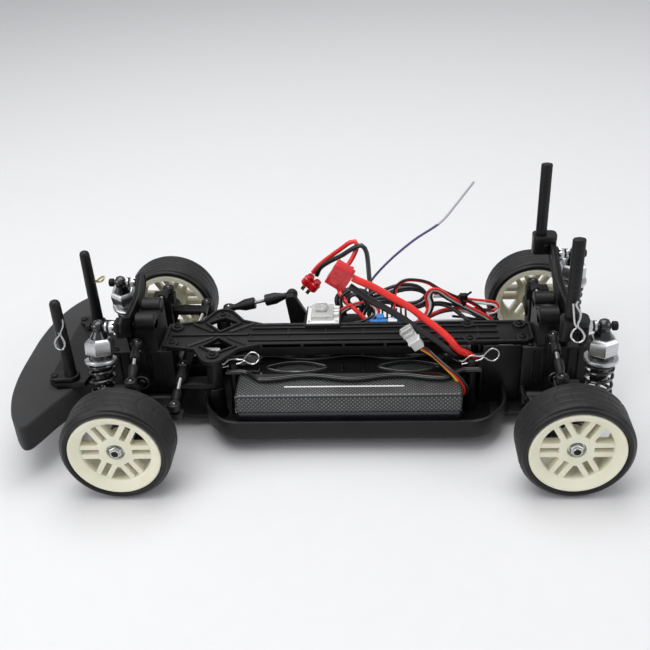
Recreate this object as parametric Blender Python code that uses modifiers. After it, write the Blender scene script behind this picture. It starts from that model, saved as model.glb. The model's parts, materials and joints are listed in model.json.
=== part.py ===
"""Rolling chassis of a tenth-scale four-wheel-drive drift car, without its body shell.

Driving dimensions are in millimetres. x runs to the nose from mid-wheelbase, y to the
car's left and z up from the ground. place() turns them into the model's frame, in metres,
whose origin lies on the ground under the middle of the car's overall length.
"""
import bmesh
import bpy
import math
from mathutils import Matrix, Vector

# Driving dimensions, in millimetres and degrees.
WHEELBASE = 260.0
TRACK = 164.0
TYRE_R = 32.5
TYRE_W = 26.0
RIM_FLANGE_R = 27.0
RIM_BARREL_R = 25.2
RIM_BORE_R = 23.6
SPOKE_PAIRS = 6
SPOKE_PAIR_HALF_W = 4.85
SPOKE_SLOT_HALF_W = 1.3
WINDOW_R = 20.5
AXLE_R = 2.6
BORE_R = 3.1
NOSE_X = 209.0
CLEARANCE = 7.0
TUB_HALF_W = 52.0
TUB_WALL_TOP = 23.0
TUB_WALL = 2.5
DECK_Z = (52.0, 55.0)
DECK_HALF_W = 12.5
PIVOT_Y, PIVOT_Z = 21.0, 19.0
ARM_END_Y = 58.0
KINGPIN_Y = 62.5
LINK_INNER = {"front": (129.4, 20.0, 60.4), "rear": (-126.0, 20.0, 62.3)}
LINK_OUTER = {"front": (125.2, 56.6, 56.6), "rear": (-125.4, 56.6, 57.0)}
LINK_STAND = 4.0
SHOCK_X = 148.6
SHOCK_TOP = {"front": (28.0, 78.4), "rear": (45.0, 85.0)}
SHOCK_EYE = {"front": (45.0, 25.0), "rear": (49.0, 26.0)}
TOWER_X = (132.8, 136.8)
SHAFT_Y, SHAFT_Z, SHAFT_R = -4.0, 32.5, 2.5
BELLCRANK = (82.0, 23.6)
BELLCRANK_REACH = 22.0
SERVO_ARM = 21.4
ROD_INNER = (103.0, 17.0, 42.0)
ROD_OUTER = (100.3, 60.7, 42.4)
HORN_AXIS = (31.0, -40.0, 34.0)
HORN_TIP = (38.0, -40.0, 56.0)
LINK_BALL = (82.0, -45.0, 47.2)
BATTERY = ((-71.0, 1.5, 14.5), (67.0, 47.5, 39.5))
FRONT_POST = (170.4, 32.1, 99.8)
REAR_POST = (-127.5, 53.0, 144.0)
SOCKET_TOP = 95.5
LEAD_D = 4.6
ESC_LEAD_D = 3.2
ANTENNA_D = 1.6
GAP = 0.3

MM = 0.001
HUB_X = WHEELBASE / 2
WHEEL_Y = TRACK / 2
ORIGIN_X = (NOSE_X - HUB_X - TYRE_R) / 2
WELD = 0.00002
STEPS = 32

bpy.context.preferences.edit.use_global_undo = False
for old in list(bpy.data.objects):
    bpy.data.objects.remove(old)

CAR = bpy.data.collections.new("rc_drift_car")
bpy.context.scene.collection.children.link(CAR)


# Frame, materials and joining ------------------------------------------------------------

def place(x, y, z):
    """A point of the car, in the model's frame and in metres."""
    return Vector((x - ORIGIN_X, y, z)) * MM


def make_material(name, colour, roughness, metallic=0.0):
    material = bpy.data.materials.new(name)
    material.use_nodes = True
    shader = material.node_tree.nodes["Principled BSDF"]
    shader.inputs["Base Color"].default_value = (*colour, 1.0)
    shader.inputs["Roughness"].default_value = roughness
    shader.inputs["Metallic"].default_value = metallic
    material.diffuse_color = (*colour, 1.0)
    return material


FINISHES = {
    "nylon": ((0.020, 0.020, 0.022), 0.45, 0.0),
    "gloss": ((0.015, 0.015, 0.017), 0.20, 0.0),
    "foam": ((0.060, 0.062, 0.065), 0.85, 0.0),
    "rubber": ((0.025, 0.025, 0.026), 0.70, 0.0),
    "ivory": ((0.85, 0.84, 0.72), 0.35, 0.0),
    "steel": ((0.55, 0.55, 0.57), 0.25, 1.0),
    "battery": ((0.050, 0.050, 0.055), 0.40, 0.0),
    "red": ((0.75, 0.04, 0.05), 0.45, 0.0),
    "sheath": ((0.16, 0.14, 0.24), 0.50, 0.0),
}


def finish(node, finish_name):
    colour, roughness, metallic = FINISHES[finish_name]
    return make_material(node, colour, roughness, metallic)


def object_from(mesh_builder):
    mesh = bpy.data.meshes.new("shape")
    mesh_builder.to_mesh(mesh)
    mesh_builder.free()
    shape = bpy.data.objects.new("shape", mesh)
    CAR.objects.link(shape)
    return shape


def evaluated_mesh(shape):
    """The object's mesh as the viewport shows it, in world space, welded and facing out."""
    bpy.context.view_layer.update()
    graph = bpy.context.evaluated_depsgraph_get()
    mesh = bpy.data.meshes.new_from_object(shape.evaluated_get(graph))
    mesh.transform(shape.matrix_world)
    builder = bmesh.new()
    builder.from_mesh(mesh)
    bmesh.ops.remove_doubles(builder, verts=builder.verts, dist=WELD)
    bmesh.ops.dissolve_degenerate(builder, dist=WELD, edges=builder.edges)
    bmesh.ops.recalc_face_normals(builder, faces=builder.faces)
    builder.to_mesh(mesh)
    builder.free()
    return mesh


def settle(shape):
    """Replace an object by its evaluated mesh, in place."""
    solid = bpy.data.objects.new(shape.name, evaluated_mesh(shape))
    CAR.objects.link(solid)
    bpy.data.objects.remove(shape)
    return solid


def combine(shapes, cuts=()):
    """Join the shapes into one body and take the cuts away."""
    body = shapes[0]
    tools = [(shape, "UNION") for shape in shapes[1:]] + [(cut, "DIFFERENCE") for cut in cuts]
    for tool, operation in tools:
        modifier = body.modifiers.new(operation, "BOOLEAN")
        modifier.operation = operation
        modifier.solver = "EXACT"
        modifier.object = tool
    solid = settle(body)
    for tool, _ in tools:
        bpy.data.objects.remove(tool)
    return solid


def node(name, finish_name, shapes, cuts=(), origin=None, smooth=40.0):
    """One sub-part of the car: its shapes joined, named, coloured and given its origin."""
    solid = combine(shapes, cuts)
    solid.name = name
    solid.data.name = name
    solid.data.materials.clear()
    solid.data.materials.append(finish(name, finish_name))
    solid.data.shade_smooth()
    solid.data.set_sharp_from_angle(angle=math.radians(smooth))
    if origin is not None:
        solid.data.transform(Matrix.Translation(-origin))
        solid.location = origin
    return solid


def mirrored(solid, name):
    """The same sub-part on the other side of the car."""
    mesh = solid.data.copy()
    mesh.transform(Matrix.Scale(-1, 4, (0, 1, 0)))
    mesh.flip_normals()
    twin = bpy.data.objects.new(name, mesh)
    twin.location = Vector((1, -1, 1)) * solid.location
    mesh.name = name
    CAR.objects.link(twin)
    return twin


def hang(child, parent):
    """Parent a moving sub-part to the one that carries it, without moving it."""
    bpy.context.view_layer.update()
    child.parent = parent
    child.matrix_parent_inverse = parent.matrix_world.inverted()


# Shapes ----------------------------------------------------------------------------------

def box(low, high):
    """A box between two corners."""
    builder = bmesh.new()
    bmesh.ops.create_cube(builder, size=1.0)
    low, high = place(*low), place(*high)
    size = high - low
    bmesh.ops.scale(builder, verts=builder.verts, vec=[abs(side) for side in size])
    bmesh.ops.translate(builder, verts=builder.verts, vec=(low + high) / 2)
    return object_from(builder)


def rod(start, end, radius, sides=16, end_radius=None):
    """A cylinder or a cone between two points."""
    builder = bmesh.new()
    start, end = place(*start), place(*end)
    axis = end - start
    far = radius if end_radius is None else end_radius
    bmesh.ops.create_cone(builder, cap_ends=True, segments=sides, radius1=radius * MM,
                          radius2=far * MM, depth=axis.length)
    turn = Vector((0, 0, 1)).rotation_difference(axis.normalized()).to_matrix().to_4x4()
    bmesh.ops.transform(builder, verts=builder.verts,
                        matrix=Matrix.Translation((start + end) / 2) @ turn)
    return object_from(builder)


def turned(profile, base, towards, steps=STEPS):
    """A turned shape: (radius, height) pairs around the line from base to towards."""
    mesh = bpy.data.meshes.new("profile")
    points = [(radius * MM, 0.0, height * MM) for radius, height in profile]
    closed = profile[0][0] > 0
    edges = [(i, i + 1) for i in range(len(points) - 1)]
    if closed:
        edges.append((len(points) - 1, 0))
    mesh.from_pydata(points, edges, [])
    shape = bpy.data.objects.new("turned", mesh)
    CAR.objects.link(shape)
    screw = shape.modifiers.new("Screw", "SCREW")
    screw.steps = steps
    screw.render_steps = steps
    screw.use_merge_vertices = True
    screw.merge_threshold = 0.00001
    base, towards = place(*base), place(*towards)
    shape.rotation_mode = "QUATERNION"
    shape.rotation_quaternion = (towards - base).to_track_quat("Z", "Y")
    shape.location = base
    return settle(shape)


FACING = {
    "z": Matrix.Identity(3),
    "y": Matrix(((1, 0, 0), (0, 0, 1), (0, 1, 0))),
    "x": Matrix(((0, 0, 1), (1, 0, 0), (0, 1, 0))),
}


def plate(outlines, low, high, across="z"):
    """A flat outline, with any holes as further outlines, between two levels of one axis.

    The outline's pairs are (x, y) across z, (x, z) across y and (y, z) across x.
    """
    curve = bpy.data.curves.new("outline", "CURVE")
    curve.dimensions = "2D"
    curve.fill_mode = "BOTH"
    curve.extrude = (high - low) / 2 * MM
    for outline in outlines:
        spline = curve.splines.new("POLY")
        spline.points.add(len(outline) - 1)
        for point, (first, second) in zip(spline.points, outline):
            point.co = (first * MM, second * MM, 0, 1)
        spline.use_cyclic_u = True
    shape = bpy.data.objects.new("plate", curve)
    CAR.objects.link(shape)
    middle = {"z": (0, 0, (low + high) / 2), "y": (0, (low + high) / 2, 0),
              "x": ((low + high) / 2, 0, 0)}[across]
    shape.matrix_world = Matrix.Translation(place(*middle)) @ FACING[across].to_4x4()
    return settle(shape)


def both_sides(half):
    """An outline that is symmetric about its first coordinate's axis, from its upper half."""
    return half + [(along, -side) for along, side in reversed(half)]


def across_centre(half):
    """An outline that is symmetric about the middle plane, from its left half of (y, z)."""
    return half + [(-side, height) for side, height in reversed(half) if side > 0]


def arc(centre, radius, start, end, count):
    """Points of an arc, with its angles in degrees."""
    angles = [math.radians(start + (end - start) * i / (count - 1)) for i in range(count)]
    return [(centre[0] + radius * math.cos(a), centre[1] + radius * math.sin(a)) for a in angles]


def loft(rings):
    """A solid through rings of equally many points, closed at its first and last ring."""
    builder = bmesh.new()
    rows = [[builder.verts.new(place(*point)) for point in ring] for ring in rings]
    for lower, upper in zip(rows, rows[1:]):
        for i in range(len(lower)):
            j = (i + 1) % len(lower)
            builder.faces.new((lower[i], lower[j], upper[j], upper[i]))
    builder.faces.new(rows[0])
    builder.faces.new(rows[-1])
    bmesh.ops.recalc_face_normals(builder, faces=builder.faces)
    return object_from(builder)


def smooth_route(points, step):
    """Evenly spread points of a smooth curve through the given ones."""
    ends = [2 * points[0] - points[1]] + points + [2 * points[-1] - points[-2]]
    fine = []
    for before, start, end, after in zip(ends, ends[1:], ends[2:], ends[3:]):
        for i in range(20):
            t = i / 20
            fine.append(0.5 * (2 * start + (end - before) * t
                               + (2 * before - 5 * start + 4 * end - after) * t * t
                               + (3 * start - 3 * end + after - before) * t ** 3))
    fine.append(points[-1])
    total = sum((b - a).length for a, b in zip(fine, fine[1:]))
    count = max(2, round(total / step))
    spread, walked, target = [fine[0]], 0.0, total / count
    for a, b in zip(fine, fine[1:]):
        walked += (b - a).length
        while walked >= target * len(spread) and len(spread) < count:
            spread.append(b)
    return spread + [fine[-1]]


def lead(name, finish_name, route, diameter, spacing=2.0):
    """A flexible lead: a tube along a smooth route, with a point every few diameters."""
    points = smooth_route([place(*point) for point in route], spacing * diameter * MM)
    curve = bpy.data.curves.new(name, "CURVE")
    curve.dimensions = "3D"
    curve.bevel_depth = diameter / 2 * MM
    curve.bevel_resolution = 2
    curve.use_fill_caps = True
    spline = curve.splines.new("POLY")
    spline.points.add(len(points) - 1)
    for control, point in zip(spline.points, points):
        control.co = (*point, 1)
    tube = bpy.data.objects.new(name, curve)
    curve.materials.append(finish(name, finish_name))
    CAR.objects.link(tube)
    return tube


# Chassis ---------------------------------------------------------------------------------

def tub_ring(height, inset):
    """The tub's outline at one height, moved inwards by an inset."""
    side = TUB_HALF_W - inset
    half = [(90 - inset, 0), (90 - inset, 33 - inset), (75 - inset * 0.5, side),
            (-85 + inset * 0.5, side), (-100 + inset, 33 - inset)]
    ring = half + [(x, -y) for x, y in reversed(half[1:])]
    return [(x, y, height) for x, y in ring]


def chassis_tub():
    floor = CLEARANCE + TUB_WALL
    tray = loft([tub_ring(CLEARANCE, 5.0), tub_ring(CLEARANCE + 4.2, 0.0),
                 tub_ring(TUB_WALL_TOP, 0.0), tub_ring(TUB_WALL_TOP, TUB_WALL),
                 tub_ring(12.5, TUB_WALL), tub_ring(floor, 6.0)])
    tail = CLEARANCE + 3.0
    shapes = [tray]
    for low, high in ((80.0, 152.0), (-152.0, -90.0)):
        shapes.append(box((low, -26, CLEARANCE), (high, 26, tail)))
    for side in (1, -1):
        shapes.append(rod((BELLCRANK[0], side * BELLCRANK[1], floor - 1),
                          (BELLCRANK[0], side * BELLCRANK[1], 31.6), 5.0))
    for x in (-78.0, 70.6):
        shapes.append(rod((x, 20, floor - 1), (x, 20, 46), 2.8, 12))
    shapes.append(box((-86, -1.2, floor - 1), (72, 0.9, 27)))
    for x in (-60.0, 0.0, 55.0):
        shapes.append(box((x, 0.2, floor - 1), (x + 4, 46, BATTERY[0][2] - GAP)))
    for x in (-82.0, -52.0):
        shapes.append(box((x, -36, floor - 1), (x + 4, -16, 12.7)))
    for x in (14.0, 61.4):
        shapes.append(box((x, -32, floor - 1), (x + 5.6, -25, 27)))
    return node("chassis_tub", "nylon", shapes)


def top_deck():
    lobe = arc(BELLCRANK, 8.6, 40, 140, 5)
    half = [(116, 13), (103, 15.5), (95, 17.5)] + lobe + [(67, 17.5), (54, DECK_HALF_W)]
    half += [(-112, DECK_HALF_W), (-117, 9)]
    window = [(81, 4.5), (70.5, 13.8), (80.8, 21), (90, 13.8)]
    windows = [window, [(x, -y) for x, y in window]]
    skin = plate([both_sides(half)] + windows, *DECK_Z)
    shapes = [skin]
    for side in (1, -1):
        edge = side * DECK_HALF_W
        shapes.append(box((-60, min(edge, edge - 2.5 * side), 46),
                          (60, max(edge, edge - 2.5 * side), DECK_Z[1] - 1)))
    return node("top_deck", "nylon", shapes)


def gearbox(end):
    """A bulkhead and gear case over one axle, with lugs for the lower arms."""
    sign = 1 if end == "front" else -1
    back, front = sign * 109.5, sign * 150.0
    top = DECK_Z[0] - GAP
    shapes = [box((back, -15.5, 10.3), (front, 15.5, top))]
    shapes.append(box((sign * 118, -14, top - 1), (sign * 132.4, 14, 71)))
    x, _, ball_z = LINK_INNER[end]
    shelf = ball_z - LINK_STAND
    for side in (1, -1):
        shapes.append(rod((sign * 118.4, side * 9.5, 71), (sign * 130, side * 9.5, 71), 5.2))
        shapes.append(box((x - 4, side * 12, top - 3), (x + 3.1, side * 22.8, shelf)))
        for near, far in ((109.5, 112.0), (150.0 - 1, 152.6)):
            shapes.append(box((sign * near, side * 14, 15), (sign * far, side * 24.6, 23)))
    cuts = []
    for side in (1, -1):
        cuts.append(rod((sign * 129.5, side * 17, SHAFT_Z), (sign * 129.5, side * 13, SHAFT_Z), 4.6))
    return shapes, cuts


def front_gearbox():
    shapes, cuts = gearbox("front")
    shapes.append(box((149, -13, 12), (157, 13, 44)))
    upper = [(150, 13), (158, 20), (161, 37), (178, 39.5), (184, 34), (184, 0)]
    lower = [(150, 13), (158, 20), (166, 29), (190, 29), (194, 22), (194, 0)]
    shapes.append(plate([both_sides(upper)], 40.6, 44.0))
    shapes.append(plate([both_sides(lower)], 18.4, 21.6))
    return node("front_gearbox", "nylon", shapes, cuts)


def rear_gearbox():
    shapes, cuts = gearbox("rear")
    return node("rear_gearbox", "nylon", shapes, cuts)


def front_tower():
    half = [(0, 52.2), (14.5, 52.2), (15, 58), (17, 64), (25, 69), (33, 73), (34.5, 78),
            (33, 83), (27, 84.5), (21, 81), (14, 77), (0, 76.5)]
    shapes = [plate([across_centre(half)], *TOWER_X, across="x")]
    y, z = SHOCK_TOP["front"]
    for side in (1, -1):
        shapes.append(rod((TOWER_X[1] - 1, side * y, z), (143.2, side * y, z), 3.0, 12))
    return node("front_shock_tower", "nylon", shapes)


def rear_tower():
    half = [(0, 52.2), (14.5, 52.2), (17, 62), (30, 73), (46, 79), (57, 81), (60, 86), (59, 92),
            (48, 91.5), (36, 87), (20, 82), (0, 81)]
    shapes = [plate([across_centre(half)], -TOWER_X[1], -TOWER_X[0], across="x")]
    y, z = SHOCK_TOP["rear"]
    x, post_y, _ = REAR_POST
    for side in (1, -1):
        shapes.append(rod((-TOWER_X[1] + 1, side * y, z), (-143.2, side * y, z), 3.0, 12))
        inner, outer = sorted((side * (post_y - 5.5), side * (post_y + 5.5)))
        shapes.append(box((x - 10.3, inner, 82), (x + 5.5, outer, SOCKET_TOP)))
    return node("rear_shock_tower", "nylon", shapes)


def bumper_foam():
    half = [(NOSE_X, 0), (208.6, 22), (206, 42), (201.5, 58), (196.5, 69), (190.5, 77),
            (186, 76), (182, 68), (177, 56), (171, 44), (165, 30), (161, 14), (160.5, 0)]
    outline = half + [(x, -y) for x, y in reversed(half[1:-1])]
    shape = plate([outline], 22.0, 40.2)
    soften = shape.modifiers.new("Bevel", "BEVEL")
    soften.width = 1.5 * MM
    soften.segments = 2
    soften.limit_method = "ANGLE"
    soften.angle_limit = math.radians(60)
    return node("bumper_foam", "foam", [settle(shape)])


def front_post():
    x, y, top = FRONT_POST
    lean = (177.0, 33.0, 44.3)
    flange = turned([(0, 2.6), (6.6, 2.6), (7.0, 2.0), (7.0, 0), (0, 0)], lean, (177, 33, 50), 24)
    post = turned([(0, 55.5), (1.9, 55.5), (2.6, 54.0), (2.9, 51.9), (3.8, 1.0), (4.0, 0), (0, 0)],
                  (x, y, 44.3), (x, y, top), 16)
    return node("front_body_post_left", "nylon", [flange, post])


def rear_post():
    x, y, top = REAR_POST
    oval = [(x + 3.6 * math.cos(a), y + 2.7 * math.sin(a))
            for a in (math.tau * i / 16 for i in range(16))]
    shaft = plate([oval], SOCKET_TOP + GAP, top)
    return node("rear_body_post_left", "nylon", [shaft])


# Battery, servo and electronics ----------------------------------------------------------

def battery_pack():
    shape = box(*BATTERY)
    edges = shape.modifiers.new("Bevel", "BEVEL")
    edges.width = 2.0 * MM
    edges.segments = 3
    return node("battery_pack", "battery", [settle(shape)])


def battery_strap():
    middle, half_length = -4.5, 79.4
    waves = []
    for i in range(29):
        x = middle + half_length - 2 * half_length * i / 28
        bulge = math.cos(math.tau * (x - middle) / 54)
        swell = max(0.0, min(1.0, (70 - abs(x - middle)) / 14))
        waves.append((x, 20 + 4.6 + (7.2 + 2.0 * bulge) * swell))
    outline = waves + [(x, 40 - y) for x, y in reversed(waves)]
    holes = [arc((x, 20), 3.3, 0, 330, 12) for x in (-78.0, 70.6)]
    for side in (-1, 1):
        near = middle + side * 14
        far = middle + side * 52
        start, end = sorted((near, far))
        holes.append(arc((end, 20), 5.5, -90, 90, 7) + arc((start, 20), 5.5, 90, 270, 7))
    low = BATTERY[1][2] + GAP
    return node("battery_strap", "gloss", [plate([outline] + holes, low, low + 2.4)])


def steering_servo():
    shapes = [box((20.6, -37, 20), (60.4, -9, 40)), box((13, -31, 27.4), (68, -28.6, 38)),
              rod((31, -36, 34), (31, -38.2, 34), 5.6)]
    return node("steering_servo", "nylon", shapes)


def receiver():
    shapes = [box((-10, -38, 13), (12.8, -13.4, 46)), box((-6, -35, 44), (29, -14.5, 48)),
              box((11, -32, 47), (24, -20, 55))]
    return node("radio_receiver", "nylon", shapes)


def speed_controller():
    shapes = [box((-41, -40, 10), (-11, -12, 42))]
    for i in range(5):
        x = -39.0 + 5.6 * i
        shapes.append(box((x, -38, 41), (x + 2.4, -14, 50)))
    return node("speed_controller", "nylon", shapes)


def drive_motor():
    axis = (-26.0, 29.0)
    profile = [(0, 44), (5, 44), (5, 42), (14.5, 42), (16, 40.5), (16, 1.5), (14.5, 0), (0, 0)]
    can = turned(profile, (-88, *axis), (-40, *axis), 28)
    return node("drive_motor", "steel", [can])


def centre_shaft():
    ends = (-108.0, 107.9)
    axis = (SHAFT_Y, SHAFT_Z)
    shapes = [rod((ends[0], *axis), (ends[1], *axis), SHAFT_R, 12),
              turned([(0, 4), (15.5, 4), (16, 3.5), (16, 0.5), (15.5, 0), (0, 0)],
                     (-96, *axis), (-90, *axis), 28)]
    return node("centre_shaft", "steel", shapes, origin=place(0, *axis))


# Steering --------------------------------------------------------------------------------

def servo_horn():
    x, y, z = HORN_AXIS
    tip_x, _, tip_z = HORN_TIP
    lean = math.degrees(math.atan2(tip_z - z, tip_x - x))
    outline = arc((x, z), 8.5, lean + 100, lean + 260, 10)
    outline += arc((tip_x, tip_z), 3.6, lean - 80, lean + 80, 6)
    shape = plate([outline], y - 3.6, y + 1.4, across="y")
    return node("servo_horn", "nylon", [shape], origin=place(*HORN_AXIS))


def ball_rod(name, start, end, clearance_z, parent_origin):
    """A rod with a ball cup at each end, the cups standing upright."""
    a, b = Vector(start), Vector(end)
    along = (b - a).normalized()
    shapes = []
    for centre in (a, b):
        shapes.append(rod(centre - Vector((0, 0, clearance_z)), centre + Vector((0, 0, clearance_z)), 3.7))
    grip = min(14.0, (b - a).length * 0.36)
    shapes.append(rod(a + along * 1.5, b - along * 1.5, 1.5, 10))
    shapes.append(rod(a + along * 1.5, a + along * grip, 2.6, 12))
    shapes.append(rod(b - along * grip, b - along * 1.5, 2.6, 12))
    return node(name, "nylon", shapes, origin=parent_origin)


def servo_link():
    x, y, z = HORN_TIP
    start = (x, y - 7.8, z)
    shapes = [rod((x, y - 10.4, z), (x, y - 4.0, z), 3.7)]
    end = Vector(LINK_BALL)
    shapes.append(rod(end - Vector((0, 0, 2.2)), end + Vector((0, 0, 2.2)), 3.7))
    a = Vector(start)
    along = (end - a).normalized()
    shapes.append(rod(a + along * 1.2, end - along * 1.2, 1.5, 10))
    shapes.append(rod(a + along * 1.2, a + along * 17, 2.8, 12))
    shapes.append(rod(end - along * 17, end - along * 1.2, 2.8, 12))
    return node("servo_link", "nylon", shapes, origin=place(*HORN_TIP))


def bellcrank(name, with_servo_arm):
    x, y = BELLCRANK
    pin = (x + BELLCRANK_REACH, y)
    hub = rod((x, y, 32.0), (x, y, DECK_Z[0] - GAP), 5.0, 20)
    arm = plate([arc((x, y), 5.0, 90, 270, 8) + arc(pin, 4.0, -90, 90, 8)], 32.0, 35.2)
    shapes = [hub, arm]
    if with_servo_arm:
        ball = (x, y + SERVO_ARM)
        shapes.append(plate([arc((x, y), 5.0, 180, 360, 8) + arc(ball, 3.8, 0, 180, 8)], 39.8, 42.8))
    return node(name, "nylon", shapes, origin=place(x, y, 0))


def drag_link():
    x, y = BELLCRANK
    pin_x = x + BELLCRANK_REACH
    half = arc((pin_x - 0.6, y), 3.4, 0, 180, 7)
    outline = [(pin_x + 2.8, -y), (pin_x + 2.8, y)] + half[1:] + [(pin_x - 4.0, -y)]
    outline += [(px, -py) for px, py in reversed(half[1:-1])]
    return node("drag_link", "nylon", [plate([outline], 35.5, 38.7)], origin=place(pin_x, y, 0))


# Suspension ------------------------------------------------------------------------------

def lower_arm(name, end):
    """A left-hand arm: an inner barrel, a pierced web, two ears and a shock lug."""
    sign = 1 if end == "front" else -1
    eye_y, eye_z = SHOCK_EYE[end]

    def spans(near, far):
        return sorted((sign * near, sign * far))

    inner = [sign * 112.5, sign * 148.5]
    shapes = [rod((inner[0], PIVOT_Y, PIVOT_Z), (inner[1], PIVOT_Y, PIVOT_Z), 3.6)]
    web = [(sign * 112.5, PIVOT_Y), (sign * 118, 52), (sign * 141, 52), (sign * 144.2, 47),
           (sign * 148.5, PIVOT_Y)]
    window = [(sign * 119, 27), (sign * 123, 44), (sign * 136, 44), (sign * 139, 27)]
    shapes.append(plate([web, window], 17.0, 21.4))
    for near, far in ((117.6, 121.6), (138.4, 142.0)):
        low, high = spans(near, far)
        ear = [(49, 17), (49, 21.4)] + arc((ARM_END_Y, PIVOT_Z), 3.8, 110, -110, 9)
        shapes.append(plate([ear], low, high, across="x"))
    low, high = spans(141.0, 144.2)
    lug = [(eye_y + 5, 17.5), (eye_y - 6, 17.5)] + arc((eye_y, eye_z), 3.6, 180, 0, 7)
    shapes.append(plate([lug], low, high, across="x"))
    return node(name, "nylon", shapes, origin=place(sign * HUB_X, PIVOT_Y, PIVOT_Z))


def front_hub():
    """A left-hand C-shaped carrier that holds the steering knuckle top and bottom."""
    pivot = (ARM_END_Y, PIVOT_Z)
    shapes = [rod((122.4, *pivot), (137.6, *pivot), 4.2)]
    wall = [(51.2, 26), (54.2, 22), (57, 16), (59, 16), (70, 21), (70, 24.2), (54.8, 24.2),
            (54.8, 42.8), (70, 42.8), (70, 46.4), (60.4, 48.5), (60.4, 53.2), (52.8, 53.2), (51, 48)]
    shapes.append(plate([wall], 124.0, 136.0, across="x"))
    shapes.append(box((121.4, 53, 47), (129.0, 60.2, 53.2)))
    return node("front_hub_left", "nylon", shapes, origin=place(HUB_X, *pivot))


def knuckle():
    """A left-hand steering knuckle with its axle bore and trailing arm."""
    x, y = HUB_X, KINGPIN_Y
    ball = (99.0, 60.7)
    shapes = [rod((x, y, 24.6), (x, y, 42.4), 5.8, 20),
              rod((x, y - 3, SHAFT_Z), (x, 76, SHAFT_Z), 7.4, 24),
              plate([arc((x, y), 4.2, 10, -80, 4) + arc(ball, 3.8, 270, 90, 8) + [(118, 66.3)]],
                    35.0, 38.6)]
    cuts = [rod((x, y - 8, SHAFT_Z), (x, 78, SHAFT_Z), BORE_R, 20)]
    return node("knuckle_left", "nylon", shapes, cuts, origin=place(x, y, SHAFT_Z))


def rear_upright():
    pivot = (ARM_END_Y, PIVOT_Z)
    shapes = [rod((-137.6, *pivot), (-122.4, *pivot), 4.2)]
    wall = [(53.2, 22.8), (57, 16), (66, 18), (70, 24), (72, 32), (70, 42), (62, 47),
            (60.4, 53.8), (52.8, 53.8)]
    shapes.append(plate([wall], -136.0, -124.0, across="x"))
    shapes.append(box((-129.4, 53, 46), (-121.4, 60.2, 53.8)))
    shapes.append(rod((-HUB_X, 60, SHAFT_Z), (-HUB_X, 76, SHAFT_Z), 7.4, 24))
    cuts = [rod((-HUB_X, 45, SHAFT_Z), (-HUB_X, 78, SHAFT_Z), BORE_R, 20)]
    return node("rear_hub_left", "nylon", shapes, cuts, origin=place(-HUB_X, *pivot))


def upper_link(end):
    return ball_rod(f"{end}_upper_link_left", LINK_INNER[end], LINK_OUTER[end], 2.7,
                    place(*LINK_INNER[end]))


def shock_axis(end):
    """Top and bottom pivots of a left-hand shock."""
    x = SHOCK_X if end == "front" else -SHOCK_X
    return Vector((x, *SHOCK_TOP[end])), Vector((x, *SHOCK_EYE[end]))


def shock_body(end):
    """Shock cylinder with its cap, collar and open bore; heights are measured downwards."""
    top, bottom = shock_axis(end)
    profile = [(0, 3), (4.2, 3), (4.2, 7), (7.2, 7), (8.6, 8.2), (8.6, 16.8), (7.0, 18),
               (7.0, 19.5), (9.6, 19.5), (9.6, 23.0), (5.2, 23.0), (5.2, 35.5), (2.1, 35.5),
               (2.1, 24.2), (0, 24.2)]
    can = turned(profile, top, bottom, 24)
    cup = rod(top - Vector((4.8, 0, 0)), top + Vector((4.8, 0, 0)), 4.8)
    return node(f"{end}_shock_body_left", "steel", [can, cup], origin=place(*top))


def shock_shaft(end):
    """Shock rod with its spring cup and lower eye."""
    top, bottom = shock_axis(end)
    length = (bottom - top).length
    profile = [(0, 29), (1.5, 29), (1.5, 45.5), (3.4, 45.5), (8.4, 47), (8.4, 49), (3.0, 49.6),
               (3.0, length), (0, length)]
    shaft = turned(profile, top, bottom, 20)
    half = Vector((2.6, 0, 0))
    eye = rod(bottom - half, bottom + half, 3.9)
    return node(f"{end}_shock_shaft_left", "steel", [shaft, eye], origin=place(*top))


# Wheels ----------------------------------------------------------------------------------

def window_outlines():
    """Six wedges between the spoke pairs, and the narrow slot inside each pair."""
    loops = []
    pitch = 360 / SPOKE_PAIRS
    spread = pitch / 2 - math.degrees(math.asin(SPOKE_PAIR_HALF_W / WINDOW_R))
    tip = SPOKE_PAIR_HALF_W / math.sin(math.radians(pitch / 2)) + 0.8
    for k in range(SPOKE_PAIRS):
        middle = pitch * (k + 0.5)
        loops.append(arc((0, 0), WINDOW_R, middle + spread, middle - spread, 4)
                     + arc((0, 0), tip, middle - 4, middle + 4, 2))
        turn = math.radians(pitch * k)
        w = SPOKE_SLOT_HALF_W
        slot = [(9.6, w - 0.1), (9.6, -w + 0.1), (WINDOW_R - 0.2, -w), (WINDOW_R - 0.2, w)]
        loops.append([(u * math.cos(turn) - v * math.sin(turn), u * math.sin(turn) + v * math.cos(turn))
                      for u, v in slot])
    return loops


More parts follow.
